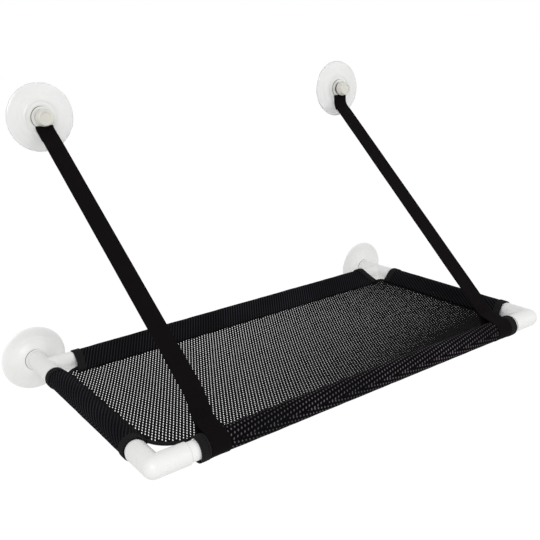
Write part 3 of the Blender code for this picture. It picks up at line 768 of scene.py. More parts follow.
def elbow_mesh():
    """One arm with a domed end, cut on the mitre and mirrored into the other arm.

    The arms run along +X and +Y from the corner at the origin.
    """
    sizes = bpy.context.scene.perch_frame
    outer = sizes.fitting_radius
    socket = sizes.socket_radius
    bore = sizes.tube_bore
    arm = sizes.elbow_arm
    stop = sizes.elbow_stop
    domes = [QUARTER * step / 14 for step in range(15)]
    profile = [(outer * math.sin(turn), -outer * math.cos(turn)) for turn in domes]
    profile[0] = (0.0, -outer)
    rim = len(profile)
    profile += [(outer, arm), (socket, arm), (socket, stop), (bore, stop)]
    profile += [(bore * math.sin(turn), -bore * math.cos(turn)) for turn in reversed(domes)]
    profile[-1] = (0.0, -bore)
    profile = round_corners(profile, {rim: sizes.edge_round, rim + 1: sizes.edge_round}, 3)
    bm = turned(profile, (0, 0, 0), X_AXIS, sizes.facets)
    bmesh.ops.rotate(bm, cent=(0, 0, 0), matrix=Matrix.Rotation(-math.pi / 4, 3, "Z"), verts=bm.verts[:])
    bmesh.ops.bisect_plane(bm, geom=all_parts(bm), plane_co=(0, 0, 0), plane_no=(0, 1, 0), clear_outer=True)
    bmesh.ops.mirror(bm, geom=all_parts(bm), matrix=Matrix.Identity(4), merge_dist=1e-5, axis="Y")
    bmesh.ops.remove_doubles(bm, verts=bm.verts[:], dist=2e-6)
    bmesh.ops.rotate(bm, cent=(0, 0, 0), matrix=Matrix.Rotation(math.pi / 4, 3, "Z"), verts=bm.verts[:])
    bmesh.ops.recalc_face_normals(bm, faces=bm.faces[:])
    return bm


def build_elbow(side, name):
    sizes = bpy.context.scene.perch_frame
    bm = elbow_mesh()
    if side > 0:
        bmesh.ops.scale(bm, vec=(-1, 1, 1), verts=bm.verts[:])
        bmesh.ops.recalc_face_normals(bm, faces=bm.faces[:])
    corner = (side * sizes.width / 2, sizes.front_axis, 0)
    bmesh.ops.translate(bm, vec=corner, verts=bm.verts[:])
    obj = add_object("front_" + name + "_elbow_moulding", bm, plastic_material(), SHARP_MOULDED)
    return finish_piece(obj, "frame", "white_plastic", "front_" + name + "_elbow")


def build_tee(side, name):
    """The run and branch are joined, bored and blended where they meet."""
    sizes = bpy.context.scene.perch_frame
    half = sizes.tee_run_half
    branch = sizes.tee_branch
    facets = sizes.facets
    middle = Vector((side * sizes.width / 2, sizes.rear_axis, 0))
    inward = X_AXIS * -side
    steps = [half * (step / 20 - 1) for step in range(41)]
    profile = [(0, -half)] + [(sizes.fitting_radius, along) for along in steps] + [(0, half)]
    profile = round_corners(profile, {1: sizes.edge_round, len(profile) - 2: sizes.edge_round}, 3)
    bm = turned(profile, middle, Y_AXIS, facets)
    obj = add_object("rear_" + name + "_tee_moulding", bm, plastic_material())
    steps = [branch * step / 23 for step in range(24)]
    profile = [(0, 0)] + [(sizes.branch_radius, along) for along in steps] + [(0, branch)]
    profile = round_corners(profile, {len(profile) - 2: sizes.edge_round}, 3)
    turn = math.pi / facets
    arm = add_object("tee_arm", turned(profile, middle, inward, facets, turn))
    # The bores go past the ends, and the branch's is a little narrower than the run's
    past = 0.002
    narrower = 0.0006
    over = half + past
    socket = sizes.socket_radius
    bore = sizes.tube_bore
    stop = sizes.tee_stop
    profile = [(0, -over), (socket, -over), (socket, -stop), (bore, -stop)]
    profile += [(bore, stop), (socket, stop), (socket, over), (0, over)]
    run_bore = add_object("run_bore", turned(profile, middle, Y_AXIS, facets, turn))
    over = branch + past
    bore -= narrower
    profile = [(0, 0), (bore, 0), (bore, stop), (socket, stop), (socket, over), (0, over)]
    branch_bore = add_object("branch_bore", turned(profile, middle, inward, facets))
    add_boolean(obj, arm, "UNION")
    add_boolean(obj, run_bore, "DIFFERENCE")
    add_boolean(obj, branch_bore, "DIFFERENCE")
    apply_modifiers(obj, (arm, run_bore, branch_bore))
    blend_joint(obj, middle, sizes)
    return finish_piece(obj, "frame", "white_plastic", "rear_" + name + "_tee")


def blend_joint(obj, middle, sizes):
    """Smooths the outer points near the line where the branch leaves the run."""
    bm = bmesh.new()
    bm.from_mesh(obj.data)

    def near_line(point, reach):
        place = point - middle
        from_run = math.hypot(place.x, place.z) - sizes.fitting_radius
        from_branch = math.hypot(place.y, place.z) - sizes.branch_radius
        outside = max(abs(place.x), abs(place.y)) < sizes.fitting_radius + reach
        return outside and abs(from_run) < reach and abs(from_branch) < reach

    blend = 0.0016
    near = [vert for vert in bm.verts if near_line(vert.co, blend)]
    for _ in range(6):
        bmesh.ops.smooth_vert(bm, verts=near, factor=0.5, use_axis_x=True, use_axis_y=True, use_axis_z=True)
    bm.to_mesh(obj.data)
    bm.free()
    obj.data.shade_smooth()
    obj.data.set_sharp_from_angle(angle=math.radians(SHARP_BLENDED))


# Bed


def sleeve_section(reach, drop, radius, flap, arc_steps=44, flat_steps=6):
    """Points (inward, up, length) round a sleeve, from its seam over the tube and back to it."""
    points = []
    for sign in (1, -1):
        seam = Vector((reach, -drop + sign * flap / 2))
        lean = math.acos(radius / seam.length)
        turn = math.atan2(seam.y, seam.x) + sign * lean
        touch = polar(turn, radius)
        line = [seam.lerp(touch, step / flat_steps) for step in range(flat_steps + 1)]
        points.append((line, turn))
    (top, first), (bottom, last) = points
    last += 2 * math.pi
    arc = [polar(first + (last - first) * step / arc_steps, radius) for step in range(1, arc_steps)]
    path = top + arc + bottom[::-1]
    return [(*point, travelled) for point, travelled in zip(path, lengths_along(path))]


def cloth_wrinkle(place, along, size):
    """A small smooth push, for cloth that doesn't lie perfectly flat."""
    value = noise.noise(Vector((along * 60, place * 90, 3.7)))
    value += 0.5 * noise.noise(Vector((along * 170, place * 150, 9.1)))
    return value * size


def sleeve_grid(axis_point, along, inward, ends, slants, radius_at, reach, lift=0.0, height_at=None):
    """A sleeve's skin, or with lift a hem that lies on it. Rows run along the tube.

    slants tell how far each end draws back where the sleeve meets its seam, and height_at
    gives a hem's height at a share of its width.
    """
    cloth = bpy.context.scene.perch_cloth
    along = Vector(along)
    inward = Vector(inward)
    start, end = ends
    row_step = 0.0005 if height_at else 0.0035
    rows = max(int((end - start) / row_step), 4)
    sections = []
    for row in range(rows + 1):
        radius = radius_at(start + (end - start) * row / rows)
        sections.append(sleeve_section(reach, cloth.edge_drop, radius, 2 * cloth.thickness))
    columns = len(sections[0]) - 1

    def position_at(column, row):
        share = clamped(sections[row][column][0] / reach) ** 2
        first = start + slants[0] * share
        last = end + slants[1] * share
        return first + (last - first) * row / rows

    def outward_at(column, row):
        section = sections[row]
        before = section[max(column - 1, 0)]
        after = section[min(column + 1, columns)]
        tangent = Vector((after[0] - before[0], after[1] - before[1])).normalized()
        return inward * tangent.y - Z_AXIS * tangent.x

    def place(column, row):
        position = position_at(column, row)
        deep, up, travelled = sections[row][column]
        point = Vector(axis_point) + along * position + inward * deep + Z_AXIS * up
        push = lift + cloth_wrinkle(travelled, position, 0.00022)
        if height_at:
            push += height_at(row / rows)
        return point + outward_at(column, row) * push

    def uv(column, row):
        travelled = sections[row][column][2]
        half = sections[row][-1][2] / 2
        unrolled = reach - min(travelled, 2 * half - travelled)
        if abs(along.x) > 0.5:
            return position_at(column, row), axis_point[1] + inward.y * unrolled
        return axis_point[0] + inward.x * unrolled, position_at(column, row)

    return shaped_grid(columns, rows, place, uv)


def plain_radius(position):
    """A sleeve's radius where nothing squeezes it."""
    return bpy.context.scene.perch_cloth.sleeve_radius


def hem_height(share, depth):
    """The height of a turned hem across its width: rolled edges and three sewn grooves."""
    edge = min(share, 1 - share) * 8
    rolled = depth * math.sqrt(max(1 - (1 - min(edge, 1.0)) ** 2, 0.0))
    grooves = sum(math.exp(-(((share - place) / 0.05) ** 2)) for place in (0.2, 0.48, 0.76))
    return rolled - depth * grooves


def build_sleeve(name, node, axis_point, along, inward, ends, slants, radius_at, reach):
    cloth = bpy.context.scene.perch_cloth
    bm = sleeve_grid(axis_point, along, inward, ends, slants, radius_at, reach)
    obj = add_object(name, bm, sleeve_material(node == "front_sleeve"), SHARP_CLOTH)
    add_thickness(obj, cloth.thickness, -1.0)
    return finish_piece(obj, "frame", "mesh_cloth", node)


def build_hem(name, node, axis_point, along, inward, start, slant, reach, lift, depth):
    ends = (start, start + bpy.context.scene.perch_cloth.hem_width)
    slants = (slant, slant)
    # The hem stops short of the seam
    reach -= 0.001
    thickness = 0.0008

    def height_at(share):
        return hem_height(share, depth)

    bm = sleeve_grid(axis_point, along, inward, ends, slants, plain_radius, reach, lift, height_at)
    obj = add_object(name, bm, tape_material(), SHARP_CLOTH)
    add_thickness(obj, thickness, -1.0)
    return finish_piece(obj, "frame", "binding_tape", node)


def cut_slots(obj):
    """Openings in the front sleeve where the straps' loops pass behind the tube."""
    y = bpy.context.scene.perch_frame.front_axis
    room = 0.0015
    far = 0.0176
    helpers = []
    for side, name in SIDES:
        half = strap_width(side) / 2 + room
        x = loop_middle(side)
        for label, near, low, high in (("top", 0.0082, 0.0, 0.014), ("bottom", 0.0052, -0.014, -0.0001)):
            bm = box_mesh((x - half, y + near, low), (x + half, y + far, high))
            helper = add_object("slot_" + name + "_" + label, bm)
            add_boolean(obj, helper, "DIFFERENCE")
            helpers.append(helper)
    apply_modifiers(obj, helpers, SHARP_CLOTH)


def binding_outline():
    """The panel's half width, front Y and rear Y, at the middle of its tapes."""
    cloth = bpy.context.scene.perch_cloth
    sizes = bpy.context.scene.perch_frame
    outset = cloth.tape_width / 2 + CLEARANCE
    half = sizes.width / 2 - cloth.side_seam - CLEARANCE + outset
    front = sizes.front_axis + cloth.front_seam + CLEARANCE - outset
    rear = sizes.rear_axis - cloth.front_seam - CLEARANCE + outset
    return half, front, rear


def corner_arc(side, steps):
    """Points round a front corner of the panel, from the side towards the front."""
    cloth = bpy.context.scene.perch_cloth
    half, front, _ = binding_outline()
    radius = on_side(cloth, side, "tape_radius")
    inset = on_side(cloth, side, "tape_inset")
    centre = Vector((side * (half - inset * 0.3 - radius), front + inset + radius))
    turns = [QUARTER * step / steps for step in range(steps + 1)]
    return [centre + Vector((side * math.cos(turn), -math.sin(turn))) * radius for turn in turns]


def rear_tape(side):
    """Points of a rear corner's tape, from the side sleeve's end to the rear sleeve's end."""
    left = ((0.2580, -0.0755), (0.2572, -0.0700), (0.2545, -0.0655), (0.2490, -0.0610), (0.2370, -0.0555))
    right = ((0.2590, -0.0755), (0.2588, -0.0700), (0.2565, -0.0662), (0.2520, -0.0643), (0.2370, -0.0635))
    return [Vector((side * x, y)) for x, y in (left if side < 0 else right)]


def bed_height(x, y):
    """The mesh's height, level at the panel's edges and lowest in its middle."""
    cloth = bpy.context.scene.perch_cloth
    half, front, rear = binding_outline()
    outset = cloth.tape_width / 2 + CLEARANCE
    across = 1 - (x / (half - outset)) ** 2
    deep = 1 - ((2 * y - front - rear) / (rear - front - 2 * outset)) ** 2
    return -cloth.edge_drop - cloth.sag * max(across, 0) * max(deep, 0)


def build_net():
    """The bed's mesh: a slanting lattice of cells cut to the panel, each opened by a long hole."""
    cloth = bpy.context.scene.perch_cloth
    half, front, rear = binding_outline()
    count = 168
    yarn_width = 0.0006
    bm = bmesh.new()
    bmesh.ops.create_grid(bm, x_segments=count, y_segments=count, size=count / 2)
    rows = Vector((math.sin(cloth.row_angle), math.cos(cloth.row_angle), 0))
    across = Vector((rows.y, -rows.x, 0))
    slant = rows * (cloth.hole_pitch / 2) + across * cloth.row_pitch
    middle = Vector((0, (front + rear) / 2, 0))
    for vert in bm.verts:
        vert.co = middle + rows * cloth.hole_pitch * vert.co.x + slant * vert.co.y
    for point, normal in net_cuts(half, front, rear):
        bmesh.ops.bisect_plane(bm, geom=all_parts(bm), plane_co=point, plane_no=normal, clear_outer=True)
    whole = cloth.hole_pitch * cloth.row_pitch
    cells = [face for face in bm.faces if face.calc_area() > 0.97 * whole and len(face.verts) == 4]
    bmesh.ops.inset_individual(bm, faces=cells, thickness=yarn_width / 2, use_even_offset=True)

    def runs_along(edge):
        """Whether an edge runs along the rows of holes."""
        return abs((edge.verts[0].co - edge.verts[1].co).normalized().dot(rows)) > 0.9

    sides = {edge for face in cells for edge in face.edges if runs_along(edge)}
    bmesh.ops.bisect_edges(bm, edges=list(sides), cuts=1)
    tilt = Matrix.Rotation(cloth.hole_tilt, 3, "Z")
    for face in cells:
        open_cell(face, rows, across, tilt, cloth)
    bmesh.ops.delete(bm, geom=cells, context="FACES_ONLY")
    add_uv(bm)
    for vert in bm.verts:
        drift = noise.noise_vector(vert.co * 22.0) * cloth.row_drift
        vert.co += Vector((drift.x, drift.y, 0))
        vert.co.z = bed_height(vert.co.x, vert.co.y)
    bmesh.ops.recalc_face_normals(bm, faces=bm.faces[:])
    obj = add_object("bed_mesh", bm, yarn_material(), SHARP_CLOTH)
    add_thickness(obj, cloth.net_thickness, 0.0)
    return finish_piece(obj, "frame", "mesh_cloth", "bed_panel")


def net_cuts(half, front, rear):
    """Planes (point, outward normal) that cut the lattice to the panel and its corners' tapes."""
    cuts = [((half, 0, 0), (1, 0, 0)), ((-half, 0, 0), (-1, 0, 0))]
    last = rear + bpy.context.scene.perch_cloth.rear_margin
    cuts += [((0, last, 0), (0, 1, 0)), ((0, front, 0), (0, -1, 0))]
    for side in (-1, 1):
        for path, turn in ((corner_arc(side, 8), -side), (rear_tape(side), side)):
            for start, end in zip(path, path[1:]):
                edge = end - start
                cuts.append(((*start, 0), (turn * edge.y, -turn * edge.x, 0)))
    return cuts


def open_cell(face, rows, across, tilt, cloth):
    """Shapes a cell's inner face, with six corners, as a long pointed hole."""
    centre = face.calc_center_median()
    widths = (cloth.hole_tip, cloth.hole_width, cloth.hole_tip)
    for sign in (-1, 1):
        line = [vert for vert in face.verts if (vert.co - centre).dot(across) * sign > 0]
        line.sort(key=lambda vert: (vert.co - centre).dot(rows))
        for vert, along, wide in zip(line, (-0.5, 0.0, 0.5), widths):
            vert.co = centre + tilt @ (rows * cloth.hole_length * along + across * sign * wide / 2)


def tape_mesh(path, width, thickness):
    """A flat tape with raised ridges, swept along a path of points with its width level."""
    steps = 20
    ridges = 2
    lengths = lengths_along(path)

    def place(column, row):
        side = direction_at(path, row).cross(Z_AXIS)
        turn = 2 * math.pi * column / steps
        over = math.cos(turn)
        up = math.sin(turn)
        up = math.copysign(abs(up) ** 0.55, up)
        over = math.copysign(abs(over) ** 0.8, over)
        up *= 1 + 0.16 * math.cos(over * math.pi * ridges)
        return path[row] + side * over * width / 2 + Z_AXIS * up * thickness / 2

    def uv(column, row):
        return width * column / steps * 2, lengths[row]

    return shaped_grid(steps, len(path) - 1, place, uv, closed=True)


def build_binding(name, node, points):
    cloth = bpy.context.scene.perch_cloth
    spacing = 0.0015
    path = []
    for before, after in zip(points, points[1:]):
        count = max(int((after - before).length / spacing), 1)
        path += [before.lerp(after, step / count) for step in range(count)]
    path.append(points[-1])
    path = [Vector((point.x, point.y, -cloth.edge_drop)) for point in path]
    bm = tape_mesh(path, cloth.tape_width, cloth.tape_thickness)
    obj = add_object(name, bm, tape_material(), SHARP_CLOTH)
    return finish_piece(obj, "frame", "binding_tape", node)


def add_stitches(bm, start, end, up, pitch=0.0032, length=0.0022, radius=0.00028):
    """A row of short threads from start to end, half sunk in the cloth."""
    line = end - start
    count = int(line.length / pitch)
    ahead = line.normalized()
    turn = Matrix((ahead, up.cross(ahead), up)).transposed().to_4x4()
    size = Matrix.Diagonal((length / 2, radius, radius, 1.0))
    for number in range(count):
        centre = start + ahead * pitch * (number + 0.5)
        matrix = Matrix.Translation(centre) @ turn @ size
        bmesh.ops.create_icosphere(bm, subdivisions=1, radius=1.0, matrix=matrix)


# Straps


def upper_centre(side):
    """The middle of an upper cup, on the glass."""
    cup = bpy.context.scene.perch_cup
    return Vector((cup.upper_shift + side * cup.upper_half, 0.0, cup.upper_height))


def strap_width(side):
    return on_side(bpy.context.scene.perch_strap, side, "width")


def loop_middle(side):
    """The middle X of a strap's loop round the front tube."""
    strap = bpy.context.scene.perch_strap
    out = strap.at_rail - strap.inset + on_side(strap, side, "foot")
    return bpy.context.scene.perch_cloth.shift + side * out


def strap_line(side):
    """Rail, bend, pull direction and normal of a strap, in (y, z)."""
    strap = bpy.context.scene.perch_strap
    rail = Vector((bpy.context.scene.perch_frame.front_axis, 0.0))
    bend = Vector((-strap.off_glass, on_side(strap, side, "bend")))
    pull = (bend - rail).normalized()
    return rail, bend, pull, Vector((-pull.y, pull.x))


def front_layer(side):
    """The webbing's middle line in (y, z), from the fold below the cup down to the loop."""
    strap = bpy.context.scene.perch_strap
    rail, bend, pull, normal = strap_line(side)
    turn = math.acos(pull.y)
    radius = on_side(strap, side, "round")
    bend_start = bend.y + radius * math.tan(turn / 2)
    fold_top = strap.top_edge - (FOLD_GAP + 1) / 2 * strap.thickness
    drop = fold_top - bend_start
    count = max(int(drop / 0.001), 0)
    path = [Vector((bend.x, fold_top - drop * step / count)) for step in range(count)]
    centre = Vector((bend.x - radius, bend_start))
    for step in range(17):
        swing = turn * step / 16
        point = centre + polar(-swing, radius)
        if point.y < fold_top:
            path.append(point)
    upper = rail + pull * strap.loop_reach + normal * strap.thickness * SEAM_OFFSET
    start = path[-1]
    path += [start.lerp(upper, step / 160) for step in range(1, 161)]
    return path


def offset_line(path, distance):
    """The same line moved sideways, to its left as it is followed."""
    result = []
    for index, point in enumerate(path):
        tangent = direction_at(path, index)
        result.append(point + Vector((-tangent.y, tangent.x)) * distance)
    return result


def cut_to_length(path, length):
    """The first part of a line, of that length."""
    result = [path[0]]
    for before, after in zip(path, path[1:]):
        step = (after - before).length
        if step >= length:
            result.append(before.lerp(after, length / step))
            return result
        length -= step
        result.append(after)
    return result


def strap_path(side):
    """The whole strip in (y, z): folded end, fold, front layer, loop and sewn overlap."""
    strap = bpy.context.scene.perch_strap
    rail, _, pull, normal = strap_line(side)
    front = front_layer(side)
    gap = strap.thickness * FOLD_GAP
    back = cut_to_length(offset_line(front, gap), strap.fold_length)
    middle = (front[0] + back[0]) / 2
    fold = [middle + polar(math.pi * step / 8, gap / 2) for step in range(1, 8)]
    upper = front[-1]
    lower = rail + pull * strap.loop_reach - normal * strap.thickness * SEAM_OFFSET
    radius = strap.loop_radius
    lean = math.acos(radius / (upper - rail).length)
    first = math.atan2((upper - rail).y, (upper - rail).x) + lean
    last = math.atan2((lower - rail).y, (lower - rail).x) - lean + 2 * math.pi
    touch = [rail + polar(turn, radius) for turn in (first, last)]
    loop = [upper.lerp(touch[0], step / 5) for step in range(1, 5)]
    loop += [rail + polar(first + (last - first) * step / 48, radius) for step in range(49)]
    loop += [touch[1].lerp(lower, step / 5) for step in range(1, 5)]
    overlap = [lower + pull * strap.seam_length * step / 8 for step in range(9)]
    return back[::-1] + fold + front + loop + overlap


def strap_place(side):
    """A function that gives a strap's middle X and half width at a point (y, z) of its line."""
    strap = bpy.context.scene.perch_strap
    rail, bend, pull, _ = strap_line(side)
    span = (bend - rail).length
    low = bpy.context.scene.perch_cloth.shift + side * (strap.at_rail - strap.inset)
    high = upper_centre(side).x - side * strap.inset

    def at(point):
        along = (point - rail).dot(pull)
        climb = clamped((along - strap.loop_reach) / (span - strap.loop_reach))
        # 1 at the doubled end, which is narrower, and 0 just past the end that is folded behind
        drop = (strap.top_edge - point.y) / strap.fold_length
        narrow = clamped((1.1 - drop) / 0.6)
        width = strap_width(side)
        half = (width + (strap.top_width - width) * narrow) / 2
        above = eased((along - strap.foot_start) / strap.foot_length)
        foot = (loop_middle(side) - low) * (1 - above)
        return low + (high - low) * climb + foot, half

    return at


def build_strap(side, name):
    strap = bpy.context.scene.perch_strap
    path = strap_path(side)
    at = strap_place(side)
    columns = 14
    lengths = lengths_along(path)

    def place(column, row):
        point = path[row]
        x, half = at(point)
        tangent = direction_at(path, row)
        share = 2 * column / columns - 1
        loose = clamped((strap.top_edge - strap.fold_length - point.y) / 0.02)
        wave = 0.00025 * noise.noise(Vector((share * 1.5, lengths[row] * 22, side * 5.0)))
        push = Vector((-tangent.y, tangent.x)) * loose * (0.0002 * (1 - share * share) + wave)
        return Vector((x + share * half, point.x + push.x, point.y + push.y))

    def uv(column, row):
        return (column / columns - 0.5) * strap_width(side), lengths[row]

    bm = shaped_grid(columns, len(path) - 1, place, uv)
    obj = add_object(name + "_strap_webbing", bm, webbing_material(), SHARP_CLOTH)
    add_thickness(obj, strap.thickness, 0.0)
    round_edges(obj, 0.0004)
    apply_modifiers(obj, (), SHARP_CLOTH)
    finish_piece(obj, name + "_strap", "strap_webbing", name + "_strap")
    threads = build_strap_threads(side, name)
    tab = build_tab(side, name)
    strap_width(side)


def build_tab(side, name):
    """The round tab on the cup's neck, sewn in between the webbing's two layers."""
    strap = bpy.context.scene.perch_strap
    centre = upper_centre(side)
    middle = -strap.off_glass + strap.thickness * FOLD_GAP / 2
    sunk = 0.0012
    root = Vector((strap.tab_root / 2, strap.top_edge - sunk - centre.z))
    rows = 96

    def outline(turn):
        """How far the tab reaches from the neck's middle, in the direction of turn."""
        down = -math.sin(turn)
        if down > 0 and abs(math.cos(turn)) * -root.y < down * root.x:
            return -root.y / down
        return strap.tab_radius

    def place(column, row):
        turn = 2 * math.pi * row / rows
        reach = strap.buttonhole + (outline(turn) - strap.buttonhole) * column / 4
        return Vector((centre.x + reach * math.cos(turn), middle, centre.z + reach * math.sin(turn)))

    def uv(column, row):
        return column * 0.001, row * 0.0007

    bm = shaped_grid(4, rows, place, uv)
    bmesh.ops.remove_doubles(bm, verts=bm.verts[:], dist=1e-6)
    obj = add_object(name + "_strap_tab", bm, webbing_material(), SHARP_CLOTH)
    add_thickness(obj, strap.thickness, 0.0)
    round_edges(obj, 0.0003)
    return finish_piece(obj, name + "_strap", "strap_webbing")


def build_strap_threads(side, name):
    """Rows of sewing across the webbing, above the loop and where the folded end stops."""
    strap = bpy.context.scene.perch_strap
    rail, _, pull, normal = strap_line(side)
    at = strap_place(side)
    bm = bmesh.new()
    front = front_layer(side)
    top_end = cut_to_length(front, strap.fold_length - 0.004)[-1]
    first = strap.loop_reach + 0.0015
    spacing = 0.0024
    rows = [(rail + pull * (first + spacing * step), SEAM_OFFSET) for step in range(5)]
    spacing = 0.0025
    rows += [(top_end + pull * spacing * step, 0.0) for step in range(2)]
    for point, lift in rows:
        x, half = at(point)
        surface = point + normal * strap.thickness * (lift + 0.5)
        up = Vector((0, normal.x, normal.y))
        reach = half * 0.86
        start = Vector((x - reach, surface.x, surface.y))
        end = Vector((x + reach, surface.x, surface.y))
        add_stitches(bm, start, end, up, 0.0026, 0.0018, 0.0003)
    add_uv(bm)
    obj = add_object(name + "_strap_threads", bm, webbing_material(), SHARP_CLOTH)
    return finish_piece(obj, name + "_strap", "strap_webbing")


# Cups


def disc_profile(radius):
    """A cup's disc from its hollow underside round the lip to the foot of its thick middle."""
    under = [(0.0, -0.0024), (radius * 0.25, -0.0023), (radius * 0.5, -0.0017), (radius * 0.75, -0.0007)]
    lip = [(radius - 0.003, 0.0), (radius - 0.0004, 0.0), (radius, -0.0004), (radius - 0.0003, -0.0009)]
    flare = [(radius * 0.93, -0.0016), (radius * 0.84, -0.0022), (radius * 0.74, -0.0027)]
    step = [(radius * 0.695, -0.0030), (radius * 0.675, -0.0034)]
    return under + lip + flare + step


def rise(start, end, steps=6):
    """Points of a smooth rise between two (radius, along) points, the last one included."""
    points = []
    for number in range(1, steps + 1):
        share = number / steps
        ease = 0.5 - 0.5 * math.cos(math.pi * share)
        points.append((start[0] + (end[0] - start[0]) * share, start[1] + (end[1] - start[1]) * ease))
    return points


def centred_uv(bm, centre):
    """A UV in metres from a cup's middle, across its face."""
    add_uv(bm, lambda point: (point.x - centre.x, point.z - centre.z))


def build_upper_cup(side, name):
    cup = bpy.context.scene.perch_cup
    centre = upper_centre(side)
    foot = (cup.boss_radius + 0.0016, -0.0046)
    top = -cup.boss_height
    profile = disc_profile(cup.radius)
    profile += rise(profile[-1], (0.0208, -0.0040), 4)
    # A low ring round the thick middle's foot
    profile += [(0.0202, -0.0045), (0.0195, -0.0048), (0.0188, -0.0045), (0.0182, -0.0042), foot]
    count = len(profile)
    profile += [(cup.boss_radius, top), (cup.neck_radius, top), (0, top)]
    profile = round_corners(profile, {count: 0.0006}, 4)
    bm = turned(profile, centre, Y_AXIS, cup.facets)
    centred_uv(bm, centre)
    disc = add_object("upper_" + name + "_cup_disc", bm, clear_vinyl(), SHARP_MOULDED)
    body = "upper_" + name + "_cup"
    finish_piece(disc, body, "clear_vinyl", body)
    head = cup.head_radius
    end = -cup.head_end
    profile = [
        (0, top + 0.0002),
        (cup.neck_radius, top + 0.0002),
        (cup.neck_radius, -cup.neck_end),
        (head, -cup.neck_end),
        (head, -cup.neck_end - 0.0035),
        (cup.face_radius, end),
        (head * 0.66, end),
        (head * 0.60, end + 0.0008),
        (head * 0.28, end + 0.0008),
        (0, end + 0.0003),
    ]
    rounding = {2: 0.0006, 3: 0.0012, 4: 0.0015, 5: 0.0012, 6: 0.0004, 7: 0.0005}
    profile = round_corners(profile, rounding, 6)
    bm = turned(profile, centre, Y_AXIS, cup.facets)
    centred_uv(bm, centre)
    knob = add_object("upper_" + name + "_cup_knob", bm, knob_vinyl(), SHARP_MOULDED)
    finish_piece(knob, body, "clear_vinyl")


def build_lower_cup(side, name):
    cup = bpy.context.scene.perch_cup
    centre = Vector((side * bpy.context.scene.perch_frame.width / 2, 0, 0))
    profile = disc_profile(cup.radius)
    profile += rise(profile[-1], (cup.dome_radius, -cup.dome_height))
    plug = [
        (cup.plug_radius, -cup.dome_height),
        (cup.plug_radius, -cup.plug_end),
        (0, -cup.plug_end),
    ]
    count = len(profile)
    profile = round_corners(profile + plug, {count: 0.0008, count + 1: 0.0015}, 4)
    bm = turned(profile, centre, Y_AXIS, cup.facets)
    centred_uv(bm, centre)
    obj = add_object("lower_" + name + "_cup_moulding", bm, milky_vinyl(), SHARP_MOULDED)
    body = "lower_" + name + "_cup"
    finish_piece(obj, body, "milky_vinyl", body)


# Operators


class PERCH_OT_tubes(bpy.types.Operator):
    """Build the four tubes"""

    bl_idname = "perch.tubes"
    bl_label = "Tubes"

    def execute(self, context):
        sizes = context.scene.perch_frame
        front_half = sizes.width / 2 - sizes.elbow_stop - CLEARANCE
        rear_half = sizes.width / 2 - sizes.tee_stop - CLEARANCE
        y = sizes.front_axis
        build_tube("front_tube_pipe", (-front_half, y, 0), (front_half, y, 0), "front_tube")
        y = sizes.rear_axis
        build_tube("rear_tube_pipe", (-rear_half, y, 0), (rear_half, y, 0), "rear_tube")
        front = sizes.front_axis + sizes.elbow_stop + CLEARANCE
        rear = sizes.rear_axis - sizes.tee_stop - CLEARANCE
        for side, name in SIDES:
            x = side * sizes.width / 2
            build_tube(name + "_tube_pipe", (x, front, 0), (x, rear, 0), name + "_tube")
        return {"FINISHED"}


class PERCH_OT_fittings(bpy.types.Operator):
    """Build the two elbows and the two tees"""

    bl_idname = "perch.fittings"
    bl_label = "Elbows and tees"

    def execute(self, context):
        for side, name in SIDES:
            build_elbow(side, name)
            build_tee(side, name)
        return {"FINISHED"}


